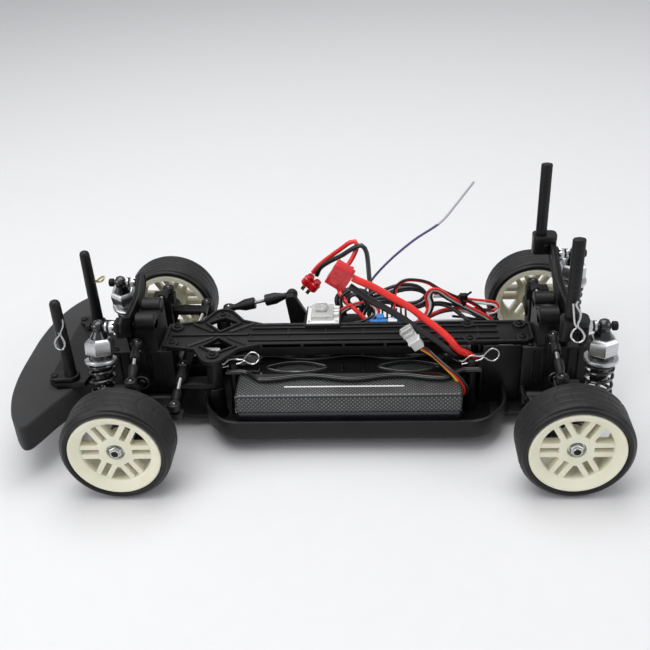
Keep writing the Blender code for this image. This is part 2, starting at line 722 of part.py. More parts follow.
def rim(name, x):
    """A left-hand wheel: barrel and flanges, a spoked face, and its hexagon and stub axle."""
    inner, outer = WHEEL_Y - TYRE_W / 2 + 0.5, WHEEL_Y + TYRE_W / 2 - 0.5
    width = outer - inner
    profile = [(RIM_BORE_R, width), (RIM_FLANGE_R - 0.4, width), (RIM_FLANGE_R, width - 0.5),
               (RIM_FLANGE_R, width - 1.6), (RIM_BARREL_R, width - 2.2), (RIM_BARREL_R, 2.2),
               (RIM_FLANGE_R, 1.6), (RIM_FLANGE_R, 0), (RIM_BORE_R, 0)]
    barrel = turned(profile, (x, inner, SHAFT_Z), (x, outer, SHAFT_Z), STEPS)
    disc = [(RIM_BARREL_R - 0.8) * math.cos(math.tau * i / STEPS) for i in range(STEPS)]
    edge = [(c, (RIM_BARREL_R - 0.8) * math.sin(math.tau * i / STEPS)) for i, c in enumerate(disc)]
    loops = [[(x + u, SHAFT_Z + v) for u, v in loop] for loop in [edge] + window_outlines()]
    face = plate(loops, outer - 8.5, outer - 4.0, across="y")
    hub = rod((x, 77.2, SHAFT_Z), (x, outer - 3.0, SHAFT_Z), 6.2, 6)
    axle = rod((x, 65.0, SHAFT_Z), (x, 79.0, SHAFT_Z), AXLE_R, 12)
    nut = rod((x, outer - 4.5, SHAFT_Z), (x, outer + 0.2, SHAFT_Z), 2.9, 6)
    return node(name, "ivory", [barrel, face, hub, axle, nut], origin=place(x, WHEEL_Y, SHAFT_Z))


def tyre(name, x):
    """A tyre seated between the rim's flanges; heights run from its inner to its outer side."""
    seat = RIM_BARREL_R + GAP
    lip = RIM_FLANGE_R + GAP
    inner = WHEEL_Y - TYRE_W / 2
    w = TYRE_W
    profile = [(seat, 3.0), (seat, w - 3.0), (lip, w - 2.8), (lip + 0.4, w - 0.6), (29.5, w),
               (31.2, w - 1.0), (TYRE_R, w - 3.6), (TYRE_R, 3.6), (31.2, 1.0), (29.5, 0),
               (lip + 0.4, 0.6), (lip, 2.8)]
    ring = turned(profile, (x, inner, SHAFT_Z), (x, inner + w, SHAFT_Z), STEPS)
    return node(name, "rubber", [ring], origin=place(x, WHEEL_Y, SHAFT_Z))


# Leads -----------------------------------------------------------------------------------

BATTERY_LEAD = [(-72, 10, 30), (-78, 10, 31.5), (-81.5, 11.2, 36.5), (-80.5, 12.4, 42),
                (-76, 15.0, 47), (-69.8, 15.9, 51), (-65.6, 15.4, 57), (-59.2, 10.8, 61.6),
                (-49.9, 7.4, 68), (-40.5, 4.8, 75.2), (-29.6, 2.8, 81.3), (-18, 1.6, 88.4),
                (-11, 1.4, 91.8), (-5.6, 0.6, 94.5)]
ESC_LEAD = [(-14.5, -26, 51.5), (-15.5, -28.5, 57), (-16.1, -33, 65.8), (-15, -38, 74.5),
            (-14.4, -42.5, 82), (-13.4, -46, 88.4), (-10.3, -48, 92.1), (-4.6, -49.6, 89.2),
            (3.7, -52, 82.6), (12.4, -55, 76.6), (18.4, -57.2, 71), (21.5, -58.5, 66)]
ANTENNA = [(-8, -35, 46.8), (-8.3, -35.6, 50), (-11, -40, 60), (-18, -44, 70.2), (-30, -45, 83.5),
           (-45, -46, 96.5), (-61.5, -47, 108), (-72, -48, 121), (-82, -48, 135.2)]


def plug(name, centre, along, size):
    """A two-pole plug: a block lying along its lead, with a narrower nose."""
    length, width, height = size
    axis = Vector(along).normalized()
    turn = axis.to_track_quat("X", "Z").to_matrix().to_4x4()
    shapes = []
    for start, end, scale in ((-0.5, 0.28, 1.0), (0.2, 0.5, 0.74)):
        block = bmesh.new()
        bmesh.ops.create_cube(block, size=1.0)
        bmesh.ops.scale(block, verts=block.verts,
                        vec=Vector(((end - start) * length, width * scale, height * scale)) * MM)
        middle = place(*(Vector(centre) + axis * length * (start + end) / 2))
        bmesh.ops.transform(block, verts=block.verts, matrix=Matrix.Translation(middle) @ turn)
        shapes.append(object_from(block))
    return node(name, "red", shapes)


def leads():
    lead("battery_lead", "red", BATTERY_LEAD, LEAD_D)
    plug("battery_plug", (1.9, -1.0, 95.1), (9.35, -2.0, 5.7), (13.0, 8.0, 15.4))
    lead("esc_lead", "red", ESC_LEAD, ESC_LEAD_D)
    lead("antenna_wire", "sheath", ANTENNA, ANTENNA_D, 3.0)
    plug("esc_plug", (26.4, -60.5, 58.4), (4.9, -2.0, -7.6), (16.0, 16.0, 8.0))


# Assembly --------------------------------------------------------------------------------

def pair(left):
    """A left-hand sub-part and its mirror image."""
    return {"left": left, "right": mirrored(left, left.name.replace("left", "right"))}


def build():
    chassis_tub()
    top_deck()
    front_gearbox()
    rear_gearbox()
    front_tower()
    rear_tower()
    bumper_foam()
    pair(front_post())
    pair(rear_post())
    battery_pack()
    battery_strap()
    steering_servo()
    receiver()
    speed_controller()
    drive_motor()
    centre_shaft()

    horn = servo_horn()
    hang(servo_link(), horn)
    cranks = {"left": bellcrank("bellcrank_left", False)}
    right_crank = bellcrank("bellcrank_spare", True)
    cranks["right"] = mirrored(right_crank, "bellcrank_right")
    bpy.data.objects.remove(right_crank)
    bridge = drag_link()
    hang(bridge, cranks["left"])
    rods = pair(ball_rod("tie_rod_left", ROD_INNER, ROD_OUTER, 2.8, place(*ROD_INNER)))
    for side in ("left", "right"):
        hang(rods[side], bridge)

    for end, x in (("front", HUB_X), ("rear", -HUB_X)):
        arms = pair(lower_arm(f"{end}_lower_arm_left", end))
        hubs = pair(front_hub() if end == "front" else rear_upright())
        pair(upper_link(end))
        bodies = pair(shock_body(end))
        shafts = pair(shock_shaft(end))
        rims = pair(rim(f"{end}_rim_left", x))
        tyres = pair(tyre(f"{end}_tyre_left", x))
        knuckles = pair(knuckle()) if end == "front" else hubs
        for side in ("left", "right"):
            hang(hubs[side], arms[side])
            hang(shafts[side], bodies[side])
            if end == "front":
                hang(knuckles[side], hubs[side])
            hang(rims[side], knuckles[side])
            hang(tyres[side], rims[side])
    leads()


build()
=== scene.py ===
"""Looks of the drift car chassis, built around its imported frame.

Shapes are written in car millimetres: x runs to the nose from mid-wheelbase, y to the
car's left and z up from the ground. place() turns them into the frame's metres.
Left-hand shapes are mirrored for the right-hand side.
"""

import json
import math

import bmesh
import bpy
from mathutils import Matrix, Vector


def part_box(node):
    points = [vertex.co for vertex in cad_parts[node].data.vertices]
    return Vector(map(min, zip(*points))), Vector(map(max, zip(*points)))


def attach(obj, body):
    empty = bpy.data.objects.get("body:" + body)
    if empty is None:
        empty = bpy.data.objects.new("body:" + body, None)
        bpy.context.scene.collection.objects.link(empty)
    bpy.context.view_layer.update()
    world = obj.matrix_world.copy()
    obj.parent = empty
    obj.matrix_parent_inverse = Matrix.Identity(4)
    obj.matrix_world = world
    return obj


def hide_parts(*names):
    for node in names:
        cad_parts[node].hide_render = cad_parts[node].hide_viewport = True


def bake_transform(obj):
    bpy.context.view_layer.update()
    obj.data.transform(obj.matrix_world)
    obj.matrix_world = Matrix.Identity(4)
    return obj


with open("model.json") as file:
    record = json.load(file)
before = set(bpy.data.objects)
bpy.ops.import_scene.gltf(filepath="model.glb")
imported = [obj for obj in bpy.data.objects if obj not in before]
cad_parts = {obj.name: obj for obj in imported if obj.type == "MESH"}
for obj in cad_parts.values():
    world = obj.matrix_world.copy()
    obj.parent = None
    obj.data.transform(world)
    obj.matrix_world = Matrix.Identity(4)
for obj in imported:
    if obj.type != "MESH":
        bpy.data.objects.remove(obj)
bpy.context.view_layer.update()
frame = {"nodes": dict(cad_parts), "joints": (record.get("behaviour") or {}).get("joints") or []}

MM = 0.001
WEAVE_PITCH = 2.7
TOWER_THICK = 4.0
PLATE_FACE_REAR = -136.8
BARE_ABOVE = 107.0
BELLCRANK = (82.0, 23.6)
STRAP_PINS = (-78.0, 70.6)
FRONT_POST_X, FRONT_POST_Y = 170.4, 32.1
KNUCKLE_STUD = (100.3, 60.7, 42.4)
STEERING_STUD = (82.0, -45.0, 47.2)
SHOCK_EYE = {"front": (45.0, 25.0), "rear": (49.0, 26.0)}
LINK_INNER = {"front": (129.4, 20.0, 60.4), "rear": (-126.0, 20.0, 62.3)}
LINK_OUTER = {"front": (125.2, 56.6, 56.6), "rear": (-125.4, 56.6, 57.0)}


# The frame, in car millimetres --------------------------------------------------------------

def middle_of(node):
    low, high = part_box(node)
    return (low + high) / 2 / MM


SHIFT = Vector(((middle_of("front_tyre_left").x + middle_of("rear_tyre_left").x) / 2, 0, 0))


def place(*point):
    """A point of the car in the frame's metres."""
    return (Vector(point) + SHIFT) * MM


def corners(node):
    """A CAD node's lowest and highest corners."""
    low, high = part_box(node)
    return low / MM - SHIFT, high / MM - SHIFT


PIVOTS = {joint["name"]: Vector(joint["pos_m"]) / MM - SHIFT
          for joint in frame["joints"] if "pos_m" in joint}
TYRE_LOW, TYRE_HIGH = corners("front_tyre_left")
HUB_X = (TYRE_LOW.x + TYRE_HIGH.x) / 2
WHEEL_Y = (TYRE_LOW.y + TYRE_HIGH.y) / 2
AXLE_Z = (TYRE_LOW.z + TYRE_HIGH.z) / 2
TYRE_R = (TYRE_HIGH.z - TYRE_LOW.z) / 2
TYRE_W = TYRE_HIGH.y - TYRE_LOW.y
ENDS = (("front", 1), ("rear", -1))
SIDES = (("left", 1), ("right", -1))


# Curves and outlines ------------------------------------------------------------------------

def smooth_route(points, step, closed=False):
    """Evenly spread points of a smooth curve through the given ones."""
    points = [Vector(p) for p in points]
    if closed:
        ends = [points[-1]] + points + points[:2]
    else:
        ends = [2 * points[0] - points[1]] + points + [2 * points[-1] - points[-2]]
    fine = []
    for before, start, end, after in zip(ends, ends[1:], ends[2:], ends[3:]):
        for i in range(20):
            t = i / 20
            fine.append(0.5 * (2 * start + (end - before) * t
                               + (2 * before - 5 * start + 4 * end - after) * t * t
                               + (3 * start - 3 * end + after - before) * t ** 3))
    fine.append(points[0] if closed else points[-1])
    total = sum((b - a).length for a, b in zip(fine, fine[1:]))
    count = max(2, round(total / step))
    spread, walked, target = [fine[0]], 0.0, total / count
    for a, b in zip(fine, fine[1:]):
        walked += (b - a).length
        while walked >= target * len(spread) and len(spread) < count:
            spread.append(b)
    return spread if closed else spread + [fine[-1]]


def arc(centre, radius, start, end, count):
    """Points of an arc, with its angles in degrees."""
    angles = [math.radians(start + (end - start) * i / (count - 1)) for i in range(count)]
    return [(centre[0] + radius * math.cos(a), centre[1] + radius * math.sin(a)) for a in angles]


def ring(centre, radius, count=24):
    return arc(centre, radius, 0, 360 - 360 / count, count)


def both_sides(half):
    """An outline symmetric about its first coordinate's axis, from its upper half."""
    return half + [(along, -side) for along, side in reversed(half)]


def across_centre(half):
    """An outline symmetric about the middle plane, from its left half of (y, z)."""
    return half + [(-side, height) for side, height in reversed(half) if side > 0]


def inset(outline, depth):
    """The outline moved inwards by a depth, with mitred corners."""
    area = sum(a[0] * b[1] - b[0] * a[1] for a, b in zip(outline, outline[1:] + outline[:1]))
    turn = 1 if area > 0 else -1
    moved = []
    for before, here, after in zip(outline[-1:] + outline[:-1], outline, outline[1:] + outline[:1]):
        a = (Vector(here) - Vector(before)).normalized()
        b = (Vector(after) - Vector(here)).normalized()
        na, nb = Vector((-a.y, a.x)) * turn, Vector((-b.y, b.x)) * turn
        mitre = na + nb
        scale = depth / max(0.4, mitre.dot(na))
        moved.append((here[0] + mitre.x * scale, here[1] + mitre.y * scale))
    return moved


FACING = {
    "z": Matrix.Identity(3),
    "y": Matrix(((1, 0, 0), (0, 0, 1), (0, 1, 0))),
    "x": Matrix(((0, 0, 1), (1, 0, 0), (0, 1, 0))),
}


def along(start, end):
    """A frame at start whose Z runs towards end."""
    start, end = Vector(start), Vector(end)
    turn = (end - start).to_track_quat("Z", "Y").to_matrix().to_4x4()
    return Matrix.Translation(start) @ turn


# Pieces -------------------------------------------------------------------------------------

def bar_curve(name, points, radius, around=3, closed=False):
    """A round bar's curve along points."""
    curve = bpy.data.curves.new(name, "CURVE")
    curve.dimensions = "3D"
    curve.bevel_depth = radius
    curve.bevel_resolution = around
    curve.use_fill_caps = True
    spline = curve.splines.new("POLY")
    spline.points.add(len(points) - 1)
    for control, point in zip(spline.points, points):
        control.co = (*point, 1)
    spline.use_cyclic_u = closed
    return curve


def curve_mesh(curve):
    """The mesh of a curve, as a bmesh, with its caps welded."""
    shape = bpy.data.objects.new("curve", curve)
    bpy.context.scene.collection.objects.link(shape)
    bpy.context.view_layer.update()
    mesh = bpy.data.meshes.new_from_object(shape.evaluated_get(bpy.context.evaluated_depsgraph_get()))
    bpy.data.objects.remove(shape)
    part = bmesh.new()
    part.from_mesh(mesh)
    bmesh.ops.remove_doubles(part, verts=part.verts, dist=0.002)
    bpy.data.meshes.remove(mesh)
    bpy.data.curves.remove(curve)
    return part


class Piece:
    """Solids gathered in car millimetres, then made one piece of the scene."""

    def __init__(self, *materials):
        self.bm = bmesh.new()
        self.materials = materials

    def take(self, part, matrix=None, finish=0, bevel=0.0, segments=2, angle=30.0):
        """Add a solid, with its sharp edges bevelled, and free it."""
        if bevel:
            limit = math.radians(angle)
            sharp = [e for e in part.edges if len(e.link_faces) == 2 and e.calc_face_angle() > limit]
            bmesh.ops.bevel(part, geom=sharp, offset=bevel, segments=segments, profile=0.5,
                            affect="EDGES", clamp_overlap=True)
        if matrix is not None:
            bmesh.ops.transform(part, matrix=matrix, verts=part.verts)
        bmesh.ops.recalc_face_normals(part, faces=part.faces)
        for face in part.faces:
            face.material_index = finish
        mesh = bpy.data.meshes.new("part")
        part.to_mesh(mesh)
        part.free()
        self.bm.from_mesh(mesh)
        bpy.data.meshes.remove(mesh)

    def box(self, low, high, finish=0, bevel=0.5, turn=None, segments=2):
        """A box between two corners, turned about its middle by a rotation matrix."""
        low, high = Vector(low), Vector(high)
        part = bmesh.new()
        bmesh.ops.create_cube(part, size=1.0)
        bmesh.ops.scale(part, verts=part.verts, vec=[abs(side) for side in high - low])
        matrix = Matrix.Translation((low + high) / 2)
        if turn is not None:
            matrix = matrix @ turn.to_4x4()
        self.take(part, matrix, finish, bevel, segments)

    def rod(self, start, end, radius, finish=0, sides=24):
        """A cylinder between two points, with its ends' edges rounded."""
        part = bmesh.new()
        length = (Vector(end) - Vector(start)).length
        bmesh.ops.create_cone(part, cap_ends=True, segments=sides, radius1=radius, radius2=radius,
                              depth=length)
        bmesh.ops.translate(part, verts=part.verts, vec=(0, 0, length / 2))
        self.take(part, along(start, end), finish, 0.25, 2, 50.0)

    def turned(self, start, end, profile, finish=0, sides=48, corners_at=None):
        """A turned solid: (radius, height) pairs about the line from start to end.

        A profile that starts off the axis is a closed ring. corners_at gives a number of
        flats, as on a nut, and the radius is then measured across the corners.
        """
        part = bmesh.new()
        closed = profile[0][0] > 0
        rows = []
        for radius, height in profile:
            if radius == 0:
                rows.append([part.verts.new((0, 0, height))])
                continue
            row = []
            for i in range(sides):
                a = math.tau * i / sides
                reach = radius
                if corners_at:
                    flat = math.pi / corners_at
                    reach = radius * math.cos(flat) / math.cos((a + flat) % (2 * flat) - flat)
                row.append(part.verts.new((reach * math.cos(a), reach * math.sin(a), height)))
            rows.append(row)
        pairs = list(zip(rows, rows[1:])) + ([(rows[-1], rows[0])] if closed else [])
        for lower, upper in pairs:
            for i in range(sides):
                j = (i + 1) % sides
                if len(lower) == 1:
                    part.faces.new((lower[0], upper[j], upper[i]))
                elif len(upper) == 1:
                    part.faces.new((lower[i], lower[j], upper[0]))
                else:
                    part.faces.new((lower[i], lower[j], upper[j], upper[i]))
        self.take(part, along(start, end), finish)

    def plate(self, outlines, low, high, across="z", finish=0, bevel=0.4, steps=1):
        """A flat outline, with any holes, between two levels of one axis and with round edges."""
        curve = bpy.data.curves.new("outline", "CURVE")
        curve.dimensions = "2D"
        curve.fill_mode = "BOTH"
        curve.extrude = (high - low) / 2 - bevel
        curve.bevel_depth = bevel
        curve.bevel_resolution = steps
        curve.offset = -bevel
        for outline in outlines:
            spline = curve.splines.new("POLY")
            spline.points.add(len(outline) - 1)
            for point, (first, second) in zip(spline.points, outline):
                point.co = (first, second, 0, 1)
            spline.use_cyclic_u = True
        level = (low + high) / 2
        centre = {"z": (0, 0, level), "y": (0, level, 0), "x": (level, 0, 0)}[across]
        self.take(curve_mesh(curve), Matrix.Translation(centre) @ FACING[across].to_4x4(), finish)

    def tube(self, points, radius, finish=0, around=3, closed=False):
        """A round bar along points."""
        self.take(curve_mesh(bar_curve("bar", points, radius, around, closed)), None, finish)

    def ball(self, centre, radius, finish=0, segments=24):
        part = bmesh.new()
        bmesh.ops.create_uvsphere(part, u_segments=segments, v_segments=segments // 2, radius=radius)
        self.take(part, Matrix.Translation(centre), finish)

    def loft(self, rings, finish=0):
        """A solid through rings of equally many points, closed at its first and last ring."""
        part = bmesh.new()
        rows = [[part.verts.new(point) for point in loop] for loop in rings]
        for lower, upper in zip(rows, rows[1:]):
            for i in range(len(lower)):
                j = (i + 1) % len(lower)
                part.faces.new((lower[i], lower[j], upper[j], upper[i]))
        part.faces.new(rows[0])
        part.faces.new(rows[-1])
        self.take(part, None, finish)

    def screw(self, centre, facing, radius=1.7, finish=0, height=1.3):
        """A button-head screw with a hexagon socket, standing on a surface."""
        centre = Vector(centre)
        head = [(0, height * 0.35), (radius * 0.5, height * 0.35), (radius * 0.5, height),
                (radius * 0.62, height), (radius * 0.9, height * 0.72), (radius, height * 0.35),
                (radius, -0.3), (0, -0.3)]
        self.turned(centre, centre + Vector(facing), head, finish, 18)

    def thread(self, start, end, radius, pitch=0.7, finish=0, sides=20):
        """A threaded bar, as close rings."""
        length = (Vector(end) - Vector(start)).length
        count = max(2, int(length / pitch))
        profile = [(0, 0)]
        for i in range(count):
            profile += [(radius * 0.84, i * length / count), (radius, (i + 0.5) * length / count)]
        profile += [(radius * 0.84, length), (0, length)]
        self.turned(start, end, profile, finish, sides)

    def make(self, name, body, replaces=(), side=1, smooth=35.0):
        """Turn the gathered solids into a piece that rides on a body."""
        if side < 0:
            bmesh.ops.scale(self.bm, verts=self.bm.verts, vec=(1, -1, 1))
            bmesh.ops.reverse_faces(self.bm, faces=self.bm.faces)
        mesh = bpy.data.meshes.new(name)
        self.bm.to_mesh(mesh)
        self.bm.free()
        mesh.transform(Matrix.Scale(MM, 4) @ Matrix.Translation(SHIFT))
        mesh.shade_smooth()
        mesh.set_sharp_from_angle(angle=math.radians(smooth))
        for material in self.materials:
            mesh.materials.append(material)
        piece = bpy.data.objects.new(name, mesh)
        bpy.context.scene.collection.objects.link(piece)
        if body is not None:
            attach(piece, body)
        if replaces:
            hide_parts(*replaces)
        return piece


def pair(fill, materials, name, body, replaces=(), smooth=35.0):
    """A left-hand piece and its mirror image; {side} in a name stands for left or right."""
    made = {}
    for side, sign in SIDES:
        piece = Piece(*materials)
        fill(piece)
        nodes = [node.format(side=side) for node in replaces]
        made[side] = piece.make(name.format(side=side), body.format(side=side), nodes, sign, smooth)
    return made


# Materials ----------------------------------------------------------------------------------

class Surface:
    """A Principled material with helpers for the nodes that drive it."""

    def __init__(self, name, roughness, metallic=0.0, **sockets):
        self.material = bpy.data.materials.new(name)
        self.material.use_nodes = True
        self.nodes = self.material.node_tree.nodes
        self.links = self.material.node_tree.links
        self.shader = self.nodes["Principled BSDF"]
        self.shader.inputs["Roughness"].default_value = roughness
        self.shader.inputs["Metallic"].default_value = metallic
        for socket, value in sockets.items():
            self.shader.inputs[socket.replace("_", " ")].default_value = value
        self.place = self.nodes.new("ShaderNodeTexCoord").outputs["Object"]

    def noise(self, scale, detail=3.0, rough=0.5):
        node = self.nodes.new("ShaderNodeTexNoise")
        node.inputs["Scale"].default_value = scale
        node.inputs["Detail"].default_value = detail
        node.inputs["Roughness"].default_value = rough
        self.links.new(self.place, node.inputs["Vector"])
        return node.outputs["Fac"]

    def cells(self, scale):
        node = self.nodes.new("ShaderNodeTexVoronoi")
        node.inputs["Scale"].default_value = scale
        self.links.new(self.place, node.inputs["Vector"])
        return node.outputs["Distance"]

    def split(self, vector):
        """The X, Y and Z of a vector."""
        node = self.nodes.new("ShaderNodeSeparateXYZ")
        self.links.new(vector, node.inputs["Vector"])
        return tuple(node.outputs)

    def ramp(self, value, stops):
        """A colour ramp over (position, colour) stops."""
        node = self.nodes.new("ShaderNodeValToRGB")
        first, last = node.color_ramp.elements
        first.position, first.color = stops[0][0], (*stops[0][1], 1)
        last.position, last.color = stops[-1][0], (*stops[-1][1], 1)
        for position, colour in stops[1:-1]:
            node.color_ramp.elements.new(position).color = (*colour, 1)
        self.links.new(value, node.inputs["Fac"])
        return node.outputs["Color"]

    def between(self, value, low, high):
        node = self.nodes.new("ShaderNodeMapRange")
        node.inputs["To Min"].default_value = low
        node.inputs["To Max"].default_value = high
        self.links.new(value, node.inputs["Value"])
        return node.outputs["Result"]

    def math(self, operation, first, second):
        node = self.nodes.new("ShaderNodeMath")
        node.operation = operation
        for socket, value in zip(node.inputs, (first, second)):
            if isinstance(value, (int, float)):
                socket.default_value = value
            else:
                self.links.new(value, socket)
        return node.outputs["Value"]

    def colour(self, source):
        self.links.new(source, self.shader.inputs["Base Color"])

    def rough(self, source, low, high):
        self.links.new(self.between(source, low, high), self.shader.inputs["Roughness"])

    def bump(self, height, strength, depth=0.0002):
        node = self.nodes.new("ShaderNodeBump")
        node.inputs["Strength"].default_value = strength
        node.inputs["Distance"].default_value = depth
        self.links.new(height, node.inputs["Height"])
        self.links.new(node.outputs["Normal"], self.shader.inputs["Normal"])


def tint(colour, factor):
    return tuple(min(1.0, c * factor) for c in colour)


def moulded(name, colour, roughness, grain=2600.0, bump=0.12, drift=0.22, **sockets):
    """Moulded plastic or rubber: slow drift in colour, fine grain in relief."""
    surface = Surface(name, roughness, **sockets)
    cloud = surface.noise(70.0, 4.0, 0.6)
    surface.colour(surface.ramp(cloud, [(0.25, tint(colour, 1 - drift)), (0.75, tint(colour, 1 + drift))]))
    surface.rough(surface.noise(260.0, 5.0, 0.65), roughness * 0.82, min(1.0, roughness * 1.18))
    surface.bump(surface.noise(grain, 2.0), bump, 0.00012)
    return surface.material


def foam_material():
    surface = Surface("charcoal_foam", 0.95, Sheen_Weight=0.10, Sheen_Roughness=0.6)
    cloud = surface.noise(45.0, 5.0, 0.6)
    cells = surface.cells(1500.0)
    surface.colour(surface.ramp(cloud, [(0.2, (0.013, 0.0132, 0.0138)), (0.8, (0.024, 0.0245, 0.0255))]))
    surface.rough(cells, 0.85, 1.0)
    surface.bump(surface.math("ADD", cells, surface.noise(3200.0, 2.0)), 0.45, 0.0003)
    return surface.material


def tyre_material():
    """Dusty tread and darker, smoother sidewalls, told apart by the way a face looks."""
    surface = Surface("tyre_rubber", 0.6, Sheen_Weight=0.05, Sheen_Roughness=0.5, Specular_IOR_Level=0.36)
    dust = surface.noise(120.0, 6.0, 0.7)
    _, sideways, _ = surface.split(surface.nodes.new("ShaderNodeNewGeometry").outputs["Normal"])
    tread = surface.math("LESS_THAN", surface.math("ABSOLUTE", sideways, 0), 0.6)
    surface.colour(surface.ramp(surface.math("MULTIPLY", dust, tread), [
        (0.0, (0.0024, 0.0024, 0.0028)), (0.3, (0.0050, 0.0050, 0.0054)), (0.8, (0.0105, 0.0105, 0.0110))]))
    surface.rough(surface.math("MULTIPLY", surface.between(dust, 0.7, 1.0),
                               surface.between(tread, 0.5, 1.0)),
                  0.18, 0.62)
    surface.bump(surface.noise(1800.0, 4.0, 0.7), 0.16, 0.00015)
    return surface.material


def ivory_material():
    surface = Surface("ivory_nylon", 0.36, Subsurface_Weight=0.12, Subsurface_Scale=0.002,
                      Specular_IOR_Level=0.45)
    cloud = surface.noise(55.0, 4.0, 0.55)
    surface.colour(surface.ramp(cloud, [(0.2, (0.78, 0.755, 0.575)), (0.8, (0.89, 0.87, 0.72))]))
    surface.rough(surface.noise(240.0, 5.0, 0.6), 0.30, 0.44)
    surface.bump(surface.noise(1500.0, 3.0), 0.06, 0.0001)
    return surface.material


def metal(name, colour, roughness):
    surface = Surface(name, roughness, 1.0)
    streaks = surface.noise(900.0, 4.0, 0.7)
    surface.colour(surface.ramp(streaks, [(0.25, tint(colour, 0.82)), (0.75, tint(colour, 1.12))]))
    surface.rough(streaks, roughness * 0.7, roughness * 1.4)
    surface.bump(streaks, 0.05, 0.00005)
    return surface.material


def woven_material():
    """Printed sleeve: staggered rows of small grey diamonds on black."""
    surface = Surface("woven_sleeve", 0.30, Coat_Weight=0.35, Coat_Roughness=0.12)
    lengthways, across, up = surface.split(surface.place)
    around = surface.math("ADD", across, up)
    turns = math.tau / (WEAVE_PITCH * MM)
    diagonals = []
    for operation in ("ADD", "SUBTRACT"):
        slanted = surface.math("MULTIPLY", surface.math(operation, lengthways, around), turns / 2)
        diagonals.append(surface.math("ABSOLUTE", surface.math("SINE", slanted, 0), 0))
    weave = surface.math("MULTIPLY", *diagonals)
    worn = surface.math("MULTIPLY", weave, surface.between(surface.noise(180.0, 4.0), 0.75, 1.2))
    surface.colour(surface.ramp(worn, [(0.25, (0.006, 0.006, 0.007)), (0.62, (0.035, 0.037, 0.037)),
                                       (0.98, (0.17, 0.18, 0.175))]))
    surface.bump(weave, 0.2, 0.0002)
    return surface.material


def antenna_material():
    """Violet sheath that ends in a bare pale core above a height."""
    surface = Surface("violet_sheath", 0.4)
    height = surface.split(surface.place)[2]
    bare = surface.math("GREATER_THAN", height, BARE_ABOVE * MM)
    surface.colour(surface.ramp(bare, [(0.0, (0.085, 0.070, 0.20)), (1.0, (0.50, 0.50, 0.53))]))
    surface.bump(surface.noise(1800.0), 0.05)
    return surface.material


def clear_material():
    surface = Surface("clear_case", 0.12, Transmission_Weight=0.75, IOR=1.46)
    surface.colour(surface.ramp(surface.noise(300.0), [(0.3, (0.82, 0.84, 0.82)),
                                                       (0.7, (0.95, 0.96, 0.94))]))
    surface.bump(surface.noise(900.0), 0.05)
    return surface.material


NYLON = moulded("black_nylon", (0.0050, 0.0050, 0.0053), 0.44, Specular_IOR_Level=0.32)
DARK = moulded("dark_nylon", (0.0034, 0.0034, 0.0037), 0.50, Specular_IOR_Level=0.26)
GLOSS = moulded("gloss_nylon", (0.0045, 0.0045, 0.0050), 0.14, bump=0.03, Coat_Weight=0.5,
                Coat_Roughness=0.06)
FOAM = foam_material()
TYRE = tyre_material()
IVORY = ivory_material()
STEEL = metal("bright_steel", (0.62, 0.62, 0.63), 0.22)
GREY_STEEL = metal("grey_steel", (0.26, 0.26, 0.265), 0.30)
BLACK_STEEL = metal("blackened_steel", (0.075, 0.075, 0.08), 0.36)
ALUMINIUM = metal("satin_aluminium", (0.60, 0.61, 0.62), 0.34)
BRASS = metal("brass", (0.86, 0.66, 0.32), 0.26)
SPRING = moulded("spring_black", (0.010, 0.010, 0.011), 0.22, bump=0.03, Coat_Weight=0.6)
WOVEN = woven_material()
SHRINK = moulded("shrink_wrap", (0.010, 0.010, 0.012), 0.28, bump=0.05, Coat_Weight=0.3)
RED_WIRE = moulded("red_silicone", (0.78, 0.020, 0.014), 0.34, 1800.0, 0.08, 0.12, Coat_Weight=0.25)
BLACK_WIRE = moulded("black_silicone", (0.0075, 0.0080, 0.0088), 0.36, 1800.0, 0.08, Coat_Weight=0.2)
RED_PLUG = moulded("red_plug", (0.60, 0.008, 0.014), 0.26, bump=0.05, drift=0.15, Coat_Weight=0.4)
WHITE = moulded("white_plastic", (0.78, 0.78, 0.76), 0.38, bump=0.05, drift=0.06)
CLEAR = clear_material()
BLUE = moulded("blue_plastic", (0.045, 0.24, 0.62), 0.34, bump=0.05)
YELLOW = moulded("yellow_wire", (0.80, 0.52, 0.03), 0.36, bump=0.05, drift=0.1)
SHEATH = antenna_material()


# Camera, light and floor ---------------------------------------------------------------------

CAMERA_AT = (-24.5, 484.8, 358.2)
CAMERA_YAW, CAMERA_PITCH, CAMERA_ROLL = 4.413, 31.48, -3.092
CAMERA_LENS = 49.87


def camera():
    yaw, pitch, roll = (math.radians(a) for a in (CAMERA_YAW, CAMERA_PITCH, CAMERA_ROLL))
    forward = Vector((math.sin(yaw) * math.cos(pitch), -math.cos(yaw) * math.cos(pitch), -math.sin(pitch)))
    flat_right = forward.cross(Vector((0, 0, 1))).normalized()
    flat_up = flat_right.cross(forward)
    right = flat_right * math.cos(roll) + flat_up * math.sin(roll)
    up = flat_up * math.cos(roll) - flat_right * math.sin(roll)
    data = bpy.data.cameras.new("camera")
    data.lens = CAMERA_LENS
    data.sensor_width = 36.0
    data.clip_start, data.clip_end = 0.01, 50.0
    seen_by = bpy.data.objects.new("camera", data)
    turn = Matrix((right, up, -forward)).transposed().to_4x4()
    seen_by.matrix_world = Matrix.Translation(place(*CAMERA_AT)) @ turn
    bpy.context.scene.collection.objects.link(seen_by)
    bpy.context.scene.camera = seen_by


def softbox(name, at, size, power, target=(0, 0, 0.03)):
    data = bpy.data.lights.new(name, "AREA")
    data.shape = "RECTANGLE"
    data.size, data.size_y = size
    data.energy = power
    lamp = bpy.data.objects.new(name, data)
    lamp.location = at
    lamp.rotation_euler = (Vector(target) - Vector(at)).to_track_quat("-Z", "Y").to_euler()
    bpy.context.scene.collection.objects.link(lamp)


